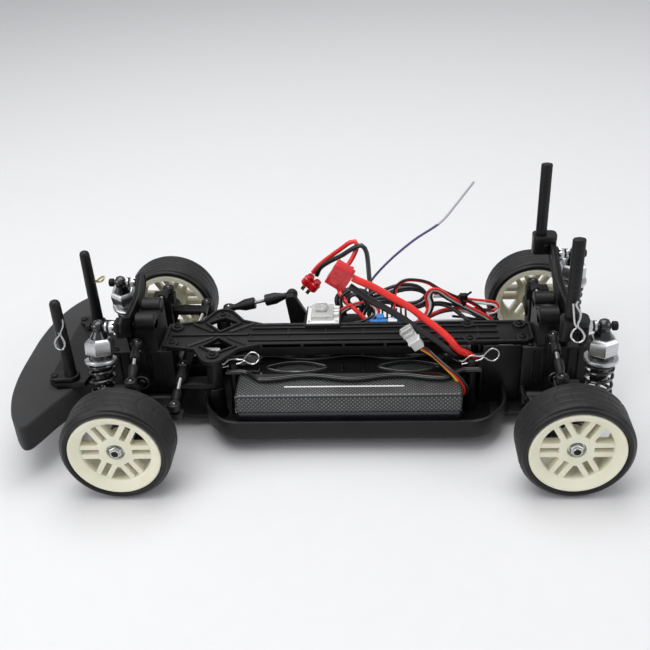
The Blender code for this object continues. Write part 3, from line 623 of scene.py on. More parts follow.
def studio():
    softbox("overhead_softbox", (0.15, -0.10, 1.25), (1.5, 1.0), 14.5)
    softbox("left_softbox", (1.15, 0.75, 0.85), (0.8, 0.8), 6.0)
    softbox("right_softbox", (-1.25, 0.35, 0.7), (0.8, 0.8), 4.2)
    world = bpy.data.worlds.new("studio")
    world.use_nodes = True
    world.node_tree.nodes["Background"].inputs["Color"].default_value = (0.96, 0.97, 1.0, 1)
    world.node_tree.nodes["Background"].inputs["Strength"].default_value = 0.46
    bpy.context.scene.world = world
    bpy.context.scene.view_settings.view_transform = "Standard"
    bpy.ops.mesh.primitive_plane_add(size=30.0, location=(0, 0, -0.0002))
    floor = bpy.context.object
    floor.name = "studio_floor"
    paper = moulded("pale_paper", (0.71, 0.71, 0.72), 0.7, 300.0, 0.02, 0.01)
    floor.data.materials.append(paper)


# Cords ---------------------------------------------------------------------------------------

def cord(name, route, diameter, material,
         replaces=()):
    """A flexible lead on the chassis: a smooth curve through its route's points."""
    points = smooth_route([place(*point) for point in route], diameter * MM)
    curve = bar_curve(name, points, diameter / 2 * MM)
    curve.splines[0].use_smooth = True
    curve.materials.append(material)
    lead = bpy.data.objects.new(name, curve)
    bpy.context.scene.collection.objects.link(lead)
    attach(lead, "chassis")
    if replaces:
        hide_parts(*replaces)
    return lead


BATTERY_LEAD = [(-72, 10, 30), (-78, 10, 31.5), (-81.5, 11.2, 36.5), (-80.5, 12.4, 42),
                (-76, 15.0, 47), (-69.8, 15.9, 51), (-65.6, 15.4, 57), (-59.2, 10.8, 61.6),
                (-49.9, 7.4, 68), (-40.5, 4.8, 75.2), (-29.6, 2.8, 81.3), (-18, 1.6, 88.4),
                (-11, 1.4, 91.8), (-5.6, 0.6, 94.5)]
BATTERY_LEAD_BLACK = [(-71, 15, 28.5), (-74.6, 15, 30), (-76.4, 13.6, 33.6), (-76.2, 12.4, 38),
                      (-74, 12.4, 42),
                      (-70.8, 13.4, 44.6), (-67, 16.2, 47.4),
                      (-62.2, 16.8, 53), (-54.4, 13.5, 58), (-43.5, 10.5, 64.8), (-34.2, 7.5, 70.4),
                      (-23.2, 4.6, 76.2), (-15.4, 2.4, 80), (-8.6, 0.6, 84.6), (-3.6, -0.6, 88.2)]
ESC_LEAD = [(-14.5, -26, 51.5), (-15.5, -28.5, 57), (-16.1, -33, 65.8), (-15, -38, 74.5),
            (-14.4, -42.5, 82), (-13.4, -46, 88.4), (-10.3, -48, 92.1), (-4.6, -49.6, 89.2),
            (3.7, -52, 82.6), (12.4, -55, 76.6), (18.4, -57.2, 71), (21.3, -58.5, 64.6)]
ESC_LEAD_RED = [(-12, -21.5, 51), (-8.5, -23, 54.8), (-3, -27, 58.6), (2.5, -32, 61.8), (5.2, -37.5, 65.5),
                (4.2, -41.5, 71), (0.4, -45, 77), (-4.2, -48.5, 83), (-7.2, -51.3, 89.4), (-6.2, -53, 92.6),
                (-2.4, -54, 91.4), (3.6, -56, 86), (12.6, -58.6, 77.9), (19.8, -60.2, 71.0),
                (24.0, -60.6, 65.6)]
ANTENNA = [(-8, -35, 46.8), (-8.3, -35.6, 50), (-11, -40, 60), (-18, -44, 70.2), (-30, -45, 83.5),
           (-45, -46, 96.5), (-61.5, -47, 108), (-72, -48, 121), (-82, -48, 135.2)]


POWER_ARC = [(-30, -26, 53), (-30.8, -27, 60), (-31.4, -28, 66.4), (-33.3, -28.3, 72), (-38.2, -28.6, 75.8),
             (-44.8, -28.6, 76.1), (-53, -28.4, 74.1), (-61.3, -28, 68.7), (-71.3, -27.4, 63.7),
             (-81.4, -27, 59.6), (-89, -27, 53), (-92.4, -27, 44), (-91, -27, 36), (-87.6, -27, 33)]
SERVO_RIBBON = [(6.5, -26, 49.4), (3.6, -26.6, 54), (-1.5, -27, 57.4), (-9.8, -27.6, 59.6),
                (-16.5, -26.6, 58.8),
                (-19.7, -24.6, 55.6), (-17.6, -22, 52.6), (-11, -19.5, 50.4), (-3, -18, 49.6),
                (5, -17.6, 49.8)]
SWITCH_RIBBON = [(-47, -20, 51), (-52.4, -22, 54), (-54.6, -24, 59.4), (-53.4, -25, 65.8),
                 (-55.8, -25, 70.2),
                 (-60.3, -25, 69.5), (-66.2, -25, 64.8), (-74.5, -24.6, 59.6), (-83.8, -24, 54.4),
                 (-92, -23, 49.6), (-96.6, -22.4, 44)]
SPARE_COIL = [(-12, -34, 50.6), (-15.4, -36, 55.6), (-20.4, -37.4, 58.8), (-27, -38, 60),
              (-34.3, -38, 62.8),
              (-42.7, -38, 64), (-50, -37.6, 62.2), (-54.4, -36.6, 57.6), (-51, -35.6, 53),
              (-43.4, -35.2, 51.4),
              (-34, -35.4, 53.2), (-26.6, -36, 55.4), (-20.6, -36, 53.6), (-15.4, -34, 49.6)]
RADIO_LOOPS = [(4, -36, 46.6), (6.6, -36.6, 52), (7.4, -37, 58.6), (3.6, -37.4, 63.6), (-3, -37.8, 65.4),
               (-9.6, -38, 63), (-12.4, -37.6, 57.6), (-9, -36.8, 53.6), (-2.8, -36, 53.4),
               (1.8, -35.4, 56.6),
               (1.4, -34.6, 61.4), (-3.6, -34, 63.6), (-8.6, -33, 60.6), (-9.4, -32, 54.6),
               (-7.2, -31, 48.6)]
RETURN_RIBBON = [(-57, -27, 66.5), (-63, -28, 66), (-71, -29, 63.4), (-80, -30, 60.6), (-90, -31, 58.6),
                 (-97, -32, 56.8), (-99.6, -31, 53.6), (-95, -30, 51.4), (-87, -29, 52.2), (-78, -28, 54.4),
                 (-70, -27, 56)]
REAR_LEAD = [(-52, -32, 54), (-60, -30, 57), (-68, -26, 56.6), (-77, -20, 52), (-84, -15, 47.6),
             (-91, -12, 44.2),
             (-98, -9, 42.6), (-105.6, -6, 43), (-107.6, 0, 43.4), (-107.8, 5, 42.4), (-106, 7, 39.6),
             (-101, 7.4, 38.4), (-97.6, 7.4, 35.6), (-98.4, 7, 31)]
BALANCE_LEAD = [(-70, 33.4, 28.6), (-72.4, 33.8, 30.6), (-72.8, 34.2, 34.6), (-70.6, 33.8, 39.2),
                (-66.8, 32, 43.4), (-62.4, 28.6, 46), (-57.4, 23.4, 48.4), (-54.2, 19.8, 49.8),
                (-51.2, 17.6, 51.2), (-47.4, 16.4, 53)]
MOTOR_LEAD = [(-42, -20, 44), (-47, -22, 48.4), (-55, -26, 50.6), (-64, -31, 51.4), (-74, -35, 50),
              (-84, -37, 46), (-91, -36, 40), (-92.6, -33.6, 34), (-88, -31.6, 30)]


def side_by_side(route, count, pitch):
    """Routes of the wires of a flat ribbon that follows a route, level with its bends."""
    route = [Vector(point) for point in route]
    lanes = []
    for lane in range(count):
        shift = (lane - (count - 1) / 2) * pitch
        points = []
        for i, point in enumerate(route):
            way = route[min(i + 1, len(route) - 1)] - route[max(i - 1, 0)]
            points.append(point + way.cross(Vector((0, 1, -0.6))).normalized() * shift)
        lanes.append(points)
    return lanes


def wires(name, route, colours, diameter):
    """A flat ribbon of coloured wires that ends on the chassis again."""
    for lane, (colour, material, slot) in zip(side_by_side(route, len(colours), diameter * 1.08), colours):
        cord(f"{name}_{colour}", lane, diameter, material)


def main_leads(battery_plug, esc_plug):
    cord("battery_lead_red", BATTERY_LEAD, 4.6, RED_WIRE,
         replaces=["battery_lead"])
    cord("battery_lead_black", BATTERY_LEAD_BLACK, 4.2, BLACK_WIRE)
    cord("esc_lead_black", ESC_LEAD, 3.2, BLACK_WIRE,
         replaces=["esc_lead"])
    cord("esc_lead_red", ESC_LEAD_RED, 3.2, RED_WIRE)
    cord("antenna_wire_sheath", ANTENNA, 1.6, SHEATH,
         replaces=["antenna_wire"])


def signal_leads():
    red = ("red", RED_WIRE, "red_silicone")
    black = ("black", BLACK_WIRE, "black_silicone")
    white = ("white", WHITE, "white_plastic")
    yellow = ("yellow", YELLOW, "yellow_wire")
    wires("servo_ribbon", SERVO_RIBBON, (red, white, black), 1.7)
    wires("switch_ribbon", SWITCH_RIBBON, (red, white, black), 1.7)
    wires("power_arc", POWER_ARC, (black, red), 1.5)
    wires("balance_lead", BALANCE_LEAD, (yellow, red, black), 1.7)
    wires("motor_lead", MOTOR_LEAD, (red, black), 2.4)
    cord("rear_lead", REAR_LEAD, 2.6, BLACK_WIRE)
    for name, route, diameter, count, step in (("spare_coil", SPARE_COIL, 2.4, 3, (0.9, 2.6, 2.7)),
                                               ("radio_loops", RADIO_LOOPS, 2.2, 3, (-1.2, 2.5, 1.2)),
                                               ("return_ribbon", RETURN_RIBBON, 1.7, 3, (0.3, 0.6, -1.85))):
        for turn in range(count):
            route = [Vector(point) + Vector(step) * turn for point in route] if turn else route
            material, slot = (BLACK_WIRE, "black_silicone")
            if name == "return_ribbon":
                _, material, slot = (red, white, black)[turn]
            cord(f"{name}_{turn + 1}", route, diameter, material)


def balance_connector():
    """White connector and its clear shroud on the end of the balance lead."""
    piece = Piece(WHITE, CLEAR)
    lean = Vector((0.56, 0, 0.83)).to_track_quat("X", "Y").to_matrix()
    centre = Vector((-42.6, 16.0, 58.4))
    half = Vector((6.2, 3.4, 2.6))
    piece.box(centre - half, centre + half, 0, 0.5, lean)
    rim = Vector((0.8, 4.0, 3.2))
    piece.box(centre - rim, centre + rim, 0, 0.3, lean)
    front = centre + lean @ Vector((7.4, 0, 0))
    half = Vector((2.8, 3.8, 3.0))
    piece.box(front - half, front + half, 1, 0.4, lean)
    piece.make("balance_connector", "chassis")


def zip_tie():
    """Tie round the leads above the motor, with its cut tail."""
    piece = Piece(DARK)
    piece.turned((-76.4, -26, 62.6), (-74.6, -26, 61.6), [(3.2, 0), (4.2, 0), (4.2, 2.0), (3.2, 2.0)],
                 0, 28)
    piece.box((-78.4, -25.4, 64.6), (-73.4, -21.6, 68.0), 0, 0.5)
    piece.rod((-76.6, -23.4, 66), (-80.4, -21, 71), 0.7, 0, 10)
    piece.make("zip_tie", "chassis")


def facing_block(piece, centre, turn):
    """A function that adds boxes given in a turned frame about a centre."""
    def block(low, high, finish=0, bevel=0.5):
        low, high = Vector(low), Vector(high)
        middle = centre + turn @ ((low + high) / 2)
        half = (high - low) / 2
        piece.box(middle - half, middle + half, finish, bevel, turn)
    return block


def socket_plug(piece, centre, axis, size):
    """The battery's plug: a smooth block with two contact slots and a stepped collar per wire."""
    length, width, height = size
    centre = Vector(centre)
    turn = Vector(axis).normalized().to_track_quat("X", "Z").to_matrix()
    block = facing_block(piece, centre, turn)
    block((-length * 0.22, -width / 2, -height / 2), (length / 2, width / 2, height / 2), 0, 0.6)
    block((-length * 0.36, -width * 0.46, -height * 0.54), (-length * 0.2, width * 0.46, height * 0.54),
          0, 0.4)
    block((-length / 2, -width * 0.42, -height * 0.46), (-length * 0.33, width * 0.42, height * 0.46),
          0, 0.5)
    for sign in (1, -1):
        middle = sign * height * 0.24
        # The contact slots are dark boxes on the plug's face: painted shade in the slots.
        block((length * 0.42, -1.9, middle - 1.1), (length * 0.508, 1.9, middle + 1.1), 1, 0.1)
        for side in (1, -1):
            edge = side * width / 2
            block((-length * 0.05, min(edge, edge + 0.25 * side), middle - 2.4),
                  (length * 0.3, max(edge, edge + 0.25 * side), middle + 2.4), 0, 0.1)


def blade_plug(piece, centre, axis, width, height):
    """The controller's plug: a lobed block with a collar per wire and two flat brass blades."""
    centre = Vector(centre)
    way = Vector(axis).normalized()
    turn = way.to_track_quat("X", "Y").to_matrix()
    block = facing_block(piece, centre, turn)
    block((-2.6, -width / 2 + 0.8, -height / 2), (3.0, width / 2 - 0.8, height / 2), 0, 1.0)
    for sign in (1, -1):
        lobe = turn @ Vector((0, sign * width * 0.27, 0))
        piece.turned(centre + lobe - way * 5.6, centre + lobe + way * 3.4,
                     [(0, 0), (2.3, 0), (2.6, 0.5), (2.7, 2.4), (3.5, 3.2), (3.5, 8.4), (3.0, 9.0),
                      (0, 9.0)],
                     0, 32)
        middle = sign * width * 0.2
        block((3.0, middle - 1.3, -0.55), (9.0, middle + 1.3, 0.55), 1, 0.15)


def plugs():
    battery = Piece(RED_PLUG, DARK)
    socket_plug(battery, (1.9, -1.0, 95.1), (9.35, -2.0, 5.7), (13.0, 8.0, 15.4))
    esc = Piece(RED_PLUG, BRASS)
    blade_plug(esc, (25.8, -60.2, 57.4), (5.2, -1.9, -7.2), 11.0, 6.4)
    return (battery.make("battery_t_plug", "chassis", ["battery_plug"]),
            esc.make("esc_t_plug", "chassis", ["esc_plug"]))


# Wheels --------------------------------------------------------------------------------------

LIP_INNER_R, SPOKE_HALF, SLOT_HALF = 20.8, 4.75, 1.7
INNER_Y = WHEEL_Y - TYRE_W / 2 + 0.5
OUTER_Y = WHEEL_Y + TYRE_W / 2 - 0.5


def wheel_windows():
    """The wedge between neighbouring spoke pairs and the slot inside each pair, six of each."""
    reach = LIP_INNER_R - 0.3
    spread = 30 - math.degrees(math.asin(SPOKE_HALF / reach))
    tip = SPOKE_HALF / math.sin(math.radians(30)) + 1.7
    loops = []
    for k in range(6):
        middle = 60 * k + 30
        near = arc((0, 0), tip, middle - 4.6, middle + 4.6, 3)
        loops.append(arc((0, 0), reach, middle + spread, middle - spread, 9) + near)
        turn = math.radians(60 * k)
        slot = [(9.6, -SLOT_HALF), (reach - 0.2, -SLOT_HALF), (reach - 0.2, SLOT_HALF), (9.6, SLOT_HALF)]
        loops.append([(u * math.cos(turn) - v * math.sin(turn), u * math.sin(turn) + v * math.cos(turn))
                      for u, v in slot])
    return loops


def wheel(piece, x):
    """Ivory wheel: a barrel with a sloping lip, six pairs of spokes and a recessed hub."""
    start, end = (x, INNER_Y, AXLE_Z), (x, OUTER_Y, AXLE_Z)
    barrel = [(23.6, 0.0), (26.6, 0.0), (27.0, 0.4), (27.0, 1.4), (25.5, 2.4), (25.2, 4.0), (25.2, 21.0),
              (25.5, 22.6), (27.0, 23.5), (27.0, 24.5), (26.6, 25.0), (26.0, 25.1), (25.3, 24.8),
              (23.2, 23.4), (21.6, 22.5), (20.9, 22.0), (20.5, 21.2), (20.5, 15.2), (21.4, 14.6),
              (23.0, 14.0), (23.6, 12.5)]
    piece.turned(start, end, barrel, 0, 96)
    loops = [ring((0, 0), 21.2, 72), ring((0, 0), 5.3, 32)] + wheel_windows()
    loops = [[(x + u, AXLE_Z + v) for u, v in loop] for loop in loops]
    piece.plate(loops, INNER_Y + 15.6, INNER_Y + 21.3, "y", 0, 0.3, 2)
    hub = [(2.9, 6.5), (6.8, 6.5), (7.2, 7.0), (9.0, 12.5), (9.2, 20.8), (5.25, 20.8), (5.1, 18.4),
           (2.9, 18.4)]
    piece.turned(start, end, hub, 0, 48)


def wheel_hardware(piece, x):
    """Hexagon adaptor, stub axle, washer and lock nut."""
    start, end = (x, INNER_Y, AXLE_Z), (x, OUTER_Y, AXLE_Z)
    piece.turned(start, end, [(0, -4.0), (2.5, -4.0), (2.5, 22.6), (2.1, 23.1), (0, 23.1)], 0, 28)
    piece.turned(start, end, [(2.6, 2.9), (6.4, 2.9), (6.8, 3.3), (6.8, 6.3), (2.6, 6.3)], 1, 48, 6)
    piece.turned(start, end, [(2.6, 18.4), (4.7, 18.4), (4.8, 18.9), (4.5, 19.2), (2.6, 19.2)], 0, 32)
    nut = [(2.3, 19.1), (3.9, 19.1), (4.05, 19.5), (4.05, 21.4), (3.7, 21.9), (3.1, 22.2), (2.9, 22.9),
           (2.3, 22.9)]
    piece.turned(start, end, nut, 0, 48, 6)
    piece.turned(start, end, [(0, 22.2), (2.2, 22.2), (2.2, 23.0), (1.7, 23.4), (0, 23.4)], 2, 24)


def tyre(piece, x, sides=320):
    """Drift tyre: rounded shoulders, a bead ring, and shallow rings and curved cuts in the tread."""
    half = [(25.5, 3.0), (27.3, 2.8), (27.45, 1.1), (27.9, 0.45), (28.6, 0.12), (29.4, 0.1),
            (30.1, 0.45), (30.5, 1.0), (30.62, 1.45), (30.95, 1.75)]
    half += [(32.5 - 1.55 * (1 - math.sin(a)), 1.9 + 3.4 * (1 - math.cos(a)))
             for a in (math.radians(8 + 82 * i / 6) for i in range(7))]
    count = 29
    low, high = 5.7, TYRE_W - 5.7
    tread = [(TYRE_R, low + (high - low) * i / (count - 1)) for i in range(count)]
    profile = half + tread + [(r, TYRE_W - h) for r, h in reversed(half)]
    rings_at = (7.6, 13.0, 18.4)
    cuts = 20
    part = bmesh.new()
    rows = []
    for radius, height in profile:
        row = []
        for i in range(sides):
            a = math.tau * i / sides
            depth = 0.0
            if radius > TYRE_R - 0.4 and 3 < height < TYRE_W - 3:
                for at in rings_at:
                    depth = max(depth, 0.42 * math.exp(-((height - at) / 0.42) ** 2))
                sweep = 0.13 * math.sin(math.pi * (height - 4) / 18)
                phase = ((a - sweep) * cuts / math.tau) % 1
                gap = min(phase, 1 - phase) * math.tau * TYRE_R / cuts
                depth = max(depth, 0.34 * math.exp(-(gap / 0.55) ** 2))
            reach = radius - depth
            row.append(part.verts.new((reach * math.cos(a), reach * math.sin(a), height)))
        rows.append(row)
    for lower, upper in zip(rows, rows[1:] + rows[:1]):
        for i in range(sides):
            j = (i + 1) % sides
            part.faces.new((lower[i], lower[j], upper[j], upper[i]))
    inner = WHEEL_Y - TYRE_W / 2
    piece.take(part, along((x, inner, AXLE_Z), (x, inner + TYRE_W, AXLE_Z)))


def wheels():
    for end, sign in ENDS:
        x = sign * HUB_X
        body = end + "_wheel_{side}"
        pair(lambda p: wheel(p, x), [IVORY], end + "_spoked_rim_{side}", body,
             [end + "_rim_{side}"])
        pair(lambda p: wheel_hardware(p, x), [STEEL, ALUMINIUM, DARK], end + "_wheel_nut_{side}", body)
        pair(lambda p: tyre(p, x), [TYRE], end + "_drift_tyre_{side}", body,
             [end + "_tyre_{side}"], 50.0)


# Bumper and body posts -----------------------------------------------------------------------

def bumper():
    low, high = corners("bumper_foam")
    tip = high.y
    half = [(high.x, 0), (208.6, 22), (206, 42), (201.5, 58), (196.5, 69), (190.5, tip), (186, tip - 1),
            (182, 68), (177, 56), (171, 44), (165, 30), (161, 14), (low.x, 0)]
    outline = half + [(x, -y) for x, y in reversed(half[1:-1])]
    outline = [tuple(p) for p in smooth_route(outline, 2.5, closed=True)]
    piece = Piece(FOAM)
    piece.plate([outline], low.z, high.z, bevel=1.6, steps=3)
    piece.make("foam_bumper", "chassis", ["bumper_foam"], smooth=50)


def front_post(piece):
    low, high = corners("front_body_post_left")
    x, y = FRONT_POST_X, FRONT_POST_Y
    flange = arc((178.0, 33.4), 5.0, -100, 80, 14) + arc((x, y), 5.4, 88, 264, 14)
    piece.plate([flange], low.z, low.z + 2.8, bevel=0.8, steps=2)
    piece.turned((x, y, low.z), (x, y, high.z),
                 [(0, 0), (4.2, 0), (4.1, 2.6), (3.8, 4.0), (3.6, 28), (3.35, 51.2), (3.2, 53.4),
                  (2.6, 54.7), (1.5, 55.4), (0, 55.5)], 0, 40)
    for i in range(7):
        z = 64 + 4.3 * i
        reach = 4.0 - (z - low.z) * 0.0215
        for facing in (1, -1):
            piece.turned((x, y + facing * (reach - 0.55), z), (x, y + facing * 9, z),
                         [(0.55, 0.2), (1.05, 0.2), (1.05, 0.72), (0.85, 0.8), (0.55, 0.7)], 0, 16)
    piece.turned((180.4, 33.8, low.z + 2.6), (180.4, 33.8, 60),
                 [(0, 0), (2.2, 0), (2.2, 0.9), (1.4, 1.3), (0, 1.3)], 1, 24)


def rear_post(piece):
    """Oval rod with a flat top and a row of pin holes on both sides, drawn as dark rods: painted shade in
    the holes.
    """
    low, high = corners("rear_body_post_left")
    middle, half = (low + high) / 2, (high - low) / 2
    rings = []
    for z, shrink in ((low.z, 0), (high.z - 0.8, 0), (high.z - 0.2, 0.25), (high.z, 0.8)):
        reach_x, reach_y = half.x - shrink, half.y - shrink
        rings.append([(middle.x + reach_x * math.cos(a), middle.y + reach_y * math.sin(a), z)
                      for a in (math.tau * i / 40 for i in range(40))])
    piece.loft(rings)
    for i in range(11):
        z = low.z + 5.6 + 3.55 * i
        # The pin holes are dark rods through the post: painted shade where the holes are.
        piece.rod((middle.x, low.y - 0.03, z), (middle.x, high.y + 0.03, z), 0.85, 1, 14)


CLIP_SHAPE = [(-7, 0), (0, 0), (7.5, 0.2), (10.6, 1.2), (13.2, -1.2), (17.4, -2.8), (21.4, -0.6),
              (21.6, 3.8), (17.6, 6.2), (13.2, 4.6), (10.4, 2.4), (7.4, 2.6), (3.4, 4.2), (-0.2, 4.4),
              (-3.6, 2.8), (-6.2, 2.0), (-8.5, 3.2)]


def body_clip(name, at, forward, up, side="left", material=None, scale=1.0):
    """An R-shaped wire clip whose straight leg passes through a point and whose ring lies ahead."""
    forward, up = Vector(forward).normalized(), Vector(up).normalized()
    piece = Piece(material or STEEL)
    bends = [Vector(at) + (forward * u + up * v) * scale for u, v in CLIP_SHAPE]
    piece.tube(smooth_route(bends, 0.7), 0.6)
    piece.make(f"{name}_{side}", "chassis", side=dict(SIDES)[side])


def posts():
    for end, post in (("front", front_post), ("rear", rear_post)):
        pair(post, [NYLON, DARK], end + "_post_{side}", "chassis", [end + "_body_post_{side}"])
    body_clip("front_post_clip", (FRONT_POST_X, 33.0, 85.5), (0.10, 0.30, -0.95), (-0.95, 0.3, 0.0),
              scale=0.78)
    body_clip("front_post_clip", (FRONT_POST_X, FRONT_POST_Y, 75.0), (-0.85, -0.2, 0.42), (0.0, 0.9, 0.2),
              "right", BRASS, 0.55)
    body_clip("rear_post_clip", (-127.4, 58.6, 102.0), (-0.12, 0.16, -0.98), (-0.98, 0.1, 0.05), scale=0.8)


# Suspension ----------------------------------------------------------------------------------

def shock_axis(end):
    """Top and bottom pivots of a left-hand shock, from the frame's joint and its lower eye."""
    top = PIVOTS[f"{end}_shock_pivot_left"]
    bottom = Vector((top.x, SHOCK_EYE[end][0], SHOCK_EYE[end][1]))
    return top, bottom


def shock_body(piece, end):
    """Ball cap, hexagon cap, knurled collar and black cylinder; heights run down the shock."""
    top, bottom = shock_axis(end)
    across = Vector((1 if top.x > 0 else -1, 0, 0))
    piece.turned(top, bottom, [(0, 1.0), (3.4, 1.0), (3.6, 3.0), (5.2, 5.6), (5.4, 7.6), (0, 7.6)], 0, 36)
    piece.turned(top - across * 3.0, top + across * 3.0,
                 [(0, 0), (2.6, 0), (3.8, 0.8), (4.3, 2.1), (4.4, 3.0), (4.3, 3.9), (3.8, 5.2), (2.6, 6.0),
                  (0, 6.0)], 0, 36)
    cap = [(0, 7.2), (5.8, 7.2), (6.2, 6.9), (7.0, 7.0), (8.2, 8.0), (9.0, 9.1), (9.1, 9.8), (9.1, 16.0),
           (8.7, 16.6), (0, 16.6)]
    piece.turned(top, bottom, cap, 1, 96, 6)
    piece.turned(top, bottom, [(0, 16.3), (7.2, 16.3), (7.2, 20), (0, 20)], 0, 40)
    knurl = [(0, 19.6), (8.9, 19.6), (9.7, 19.9), (9.9, 20.4), (9.9, 21.6), (9.5, 22.1), (8.6, 22.3),
             (0, 22.3)]
    piece.turned(top, bottom, knurl, 1, 216, 72)
    piece.turned(top, bottom, [(2.1, 22.0), (5.2, 22.0), (5.2, 35.0), (4.8, 35.5), (2.1, 35.5)], 0, 40)
    piece.turned(top - across * 11.6, top - across * 7.0,
                 [(0, 0), (3.5, 0), (3.8, 0.4), (3.8, 4.2), (3.5, 4.6), (0, 4.6)], 1, 48, 6)
    piece.turned(top - across * 5.8, top - across * 4.4, [(0, 0), (3.3, 0), (3.3, 1.2), (0, 1.2)], 1, 32)
    piece.rod(top - across * 7.4, top + across * 7.4, 1.5, 0, 20)
    piece.turned(top + across * 4.4, top + across * 9,
                 [(0, 0), (2.5, 0), (2.7, 0.3), (2.7, 2.4), (2.2, 3.0), (1.2, 3.0), (1.2, 1.8), (0, 1.8)],
                 3, 28)


def shock_shaft(piece, end):
    """Polished rod, spring cup and lower ball eye."""
    top, bottom = shock_axis(end)
    length = (bottom - top).length
    piece.turned(top, bottom, [(0, 29), (1.5, 29), (1.5, 46), (0, 46)], 0, 24)
    cup = [(0, 45.4), (3.2, 45.4), (3.4, 46.4), (8.0, 46.8), (8.5, 47.3), (8.5, 48.6), (7.6, 49.2),
           (3.6, 49.6), (3.2, 51), (3.0, length - 2), (0, length - 2)]
    piece.turned(top, bottom, cup, 1, 48)
    half = Vector((2.6, 0, 0))
    piece.turned(bottom - half, bottom + half,
                 [(0, 0), (3.4, 0), (4.0, 0.6), (4.0, 4.6), (3.4, 5.2), (0, 5.2)], 1, 32)
    piece.rod(bottom - half * 1.5, bottom + half * 1.5, 1.4, 2, 20)


def shock_spring(end, side, sign):
    """Coil spring between the collar and the spring cup."""
    top, bottom = shock_axis(end)
    turn = along(top, bottom)
    first, last, turns, radius, wire = 23.2, 46.0, 5.0, 7.6, 1.0
    steps = int(turns * 28)
    points = []
    for i in range(steps + 1):
        share = i / steps
        settle = share - math.sin(math.tau * share) * 0.055
        a = math.tau * turns * share
        height = first + (last - first) * settle
        points.append(turn @ Vector((radius * math.cos(a), radius * math.sin(a), height)))
    piece = Piece(SPRING)
    piece.tube(points, wire, 0, 2)
    spring = piece.make(f"{end}_coil_spring_{side}", None, side=sign)
    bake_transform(spring)


def ball_rod(piece, start, end, cup_axis=((0, 0, 1), (0, 0, 1)), grip=15.0, barrel=2.9):
    """Turnbuckle: a short threaded bar between two black ball cups with thick grips."""
    start, end = Vector(start), Vector(end)
    way = (end - start).normalized()
    grip = min(grip, (end - start).length * 0.42)
    piece.thread(start + way * (grip - 1), end - way * (grip - 1), 1.3, 0.7, 1)
    for centre, sign, axis in ((start, 1, Vector(cup_axis[0])), (end, -1, Vector(cup_axis[1]))):
        half = axis.normalized() * 2.7
        piece.turned(centre - half, centre + half,
                     [(0, 0), (2.9, 0), (3.5, 0.5), (3.9, 1.6), (3.9, 3.8), (3.5, 4.9), (2.6, 5.4),
                      (2.0, 5.0), (0, 5.0)], 0, 36)
        neck = [(0, 1.6), (2.7, 1.6), (2.2, 4.6), (2.3, 6.0), (barrel, grip * 0.62), (barrel, grip - 0.5),
                (barrel - 0.6, grip), (0, grip)]
        piece.turned(centre, centre + way * sign * grip, neck, 0, 28)
        piece.ball(centre + half * 0.62, 1.15, 1, 16)


def dress(node, material, bevel=0.45):
    """Finish a CAD node that stays: its material, welded corners and rounded edges."""
    shape = frame["nodes"][node]
    shape.data.materials.clear()
    shape.data.materials.append(material)
    shape.data.shade_smooth()
    weld = shape.modifiers.new("Weld", "WELD")
    weld.merge_threshold = 0.000005
    edges = shape.modifiers.new("Bevel", "BEVEL")
    edges.width = bevel * MM
    edges.segments = 2
    edges.limit_method = "ANGLE"
    edges.angle_limit = math.radians(38)
    edges.harden_normals = True


def drive_shaft(piece, sign):
    """Dog-bone drive shaft from the gear case's cup to the stub axle."""
    x = sign * HUB_X
    piece.rod((x, 20.0, AXLE_Z), (x, 60.0, AXLE_Z), 1.6, 0, 20)
    for y in (20.2, 60.0):
        piece.ball((x, y, AXLE_Z), 2.5, 0, 20)
        piece.rod((x - 2.9, y, AXLE_Z), (x + 2.9, y, AXLE_Z), 0.8, 0, 14)


def drive_cup(piece, sign):
    x = sign * HUB_X
    piece.turned((x, 13.0, AXLE_Z), (x, 22.0, AXLE_Z),
                 [(0, 0), (4.9, 0), (4.9, 8.5), (4.5, 9.0), (3.7, 9.0), (3.7, 1.0), (0, 1.0)], 0, 40)


def arm_hardware(piece, end, sign):
    """Hinge pins' heads, the shock's lower screw and set screws on a lower arm."""
    pivot = PIVOTS[f"{end}_suspension_left"]
    hub = PIVOTS[f"{end}_hub_pivot_left"]
    for at, places, radius, height in ((pivot, (112.2, 148.8), 1.9, 1.0),
                                       (hub, (117.4, 142.2), 1.7, 0.9)):
        for x, facing in zip(places, (-sign, sign)):
            piece.screw((sign * x, at.y, at.z), (facing, 0, 0), radius, 0, height)
    y, z = SHOCK_EYE[end]
    piece.screw((sign * 140.8, y, z), (-sign, 0, 0), 2.0, 0, 1.2)


def suspension():
    for end, sign in ENDS:
        for side, mirror in SIDES:
            dress(f"{end}_lower_arm_{side}", NYLON, 0.6)
            dress(f"{end}_hub_{side}", NYLON, 0.6)
            shock_spring(end, side, mirror)
        pair(lambda p: shock_body(p, end), [SPRING, ALUMINIUM, STEEL, DARK], end + "_shock_{side}",
             end + "_shock_body_{side}", [end + "_shock_body_{side}"])
        pair(lambda p: shock_shaft(p, end), [STEEL, NYLON, STEEL], end + "_shock_rod_{side}",
             end + "_shock_shaft_{side}", [end + "_shock_shaft_{side}"])
        pair(lambda p: ball_rod(p, LINK_INNER[end], LINK_OUTER[end]), [NYLON, GREY_STEEL],
             end + "_camber_link_{side}", end + "_upper_link_{side}", [end + "_upper_link_{side}"])
        pair(lambda p: drive_shaft(p, sign), [BLACK_STEEL], end + "_drive_shaft_{side}",
             end + "_lower_arm_{side}")
        pair(lambda p: drive_cup(p, sign), [BLACK_STEEL],
             end + "_drive_cup_{side}", "chassis")
        pair(lambda p: arm_hardware(p, end, sign), [STEEL], end + "_arm_screws_{side}",
             end + "_lower_arm_{side}")
    for side, _ in SIDES:
        dress(f"knuckle_{side}", NYLON, 0.5)


# Gear cases and towers -----------------------------------------------------------------------

SHAFT_PANEL = {"front": ((93.5, -14.2, 9.0), (109.0, -12.7, 26.0)),
               "rear": ((-109.0, 12.7, 9.0), (-85.5, 14.2, 52.4))}


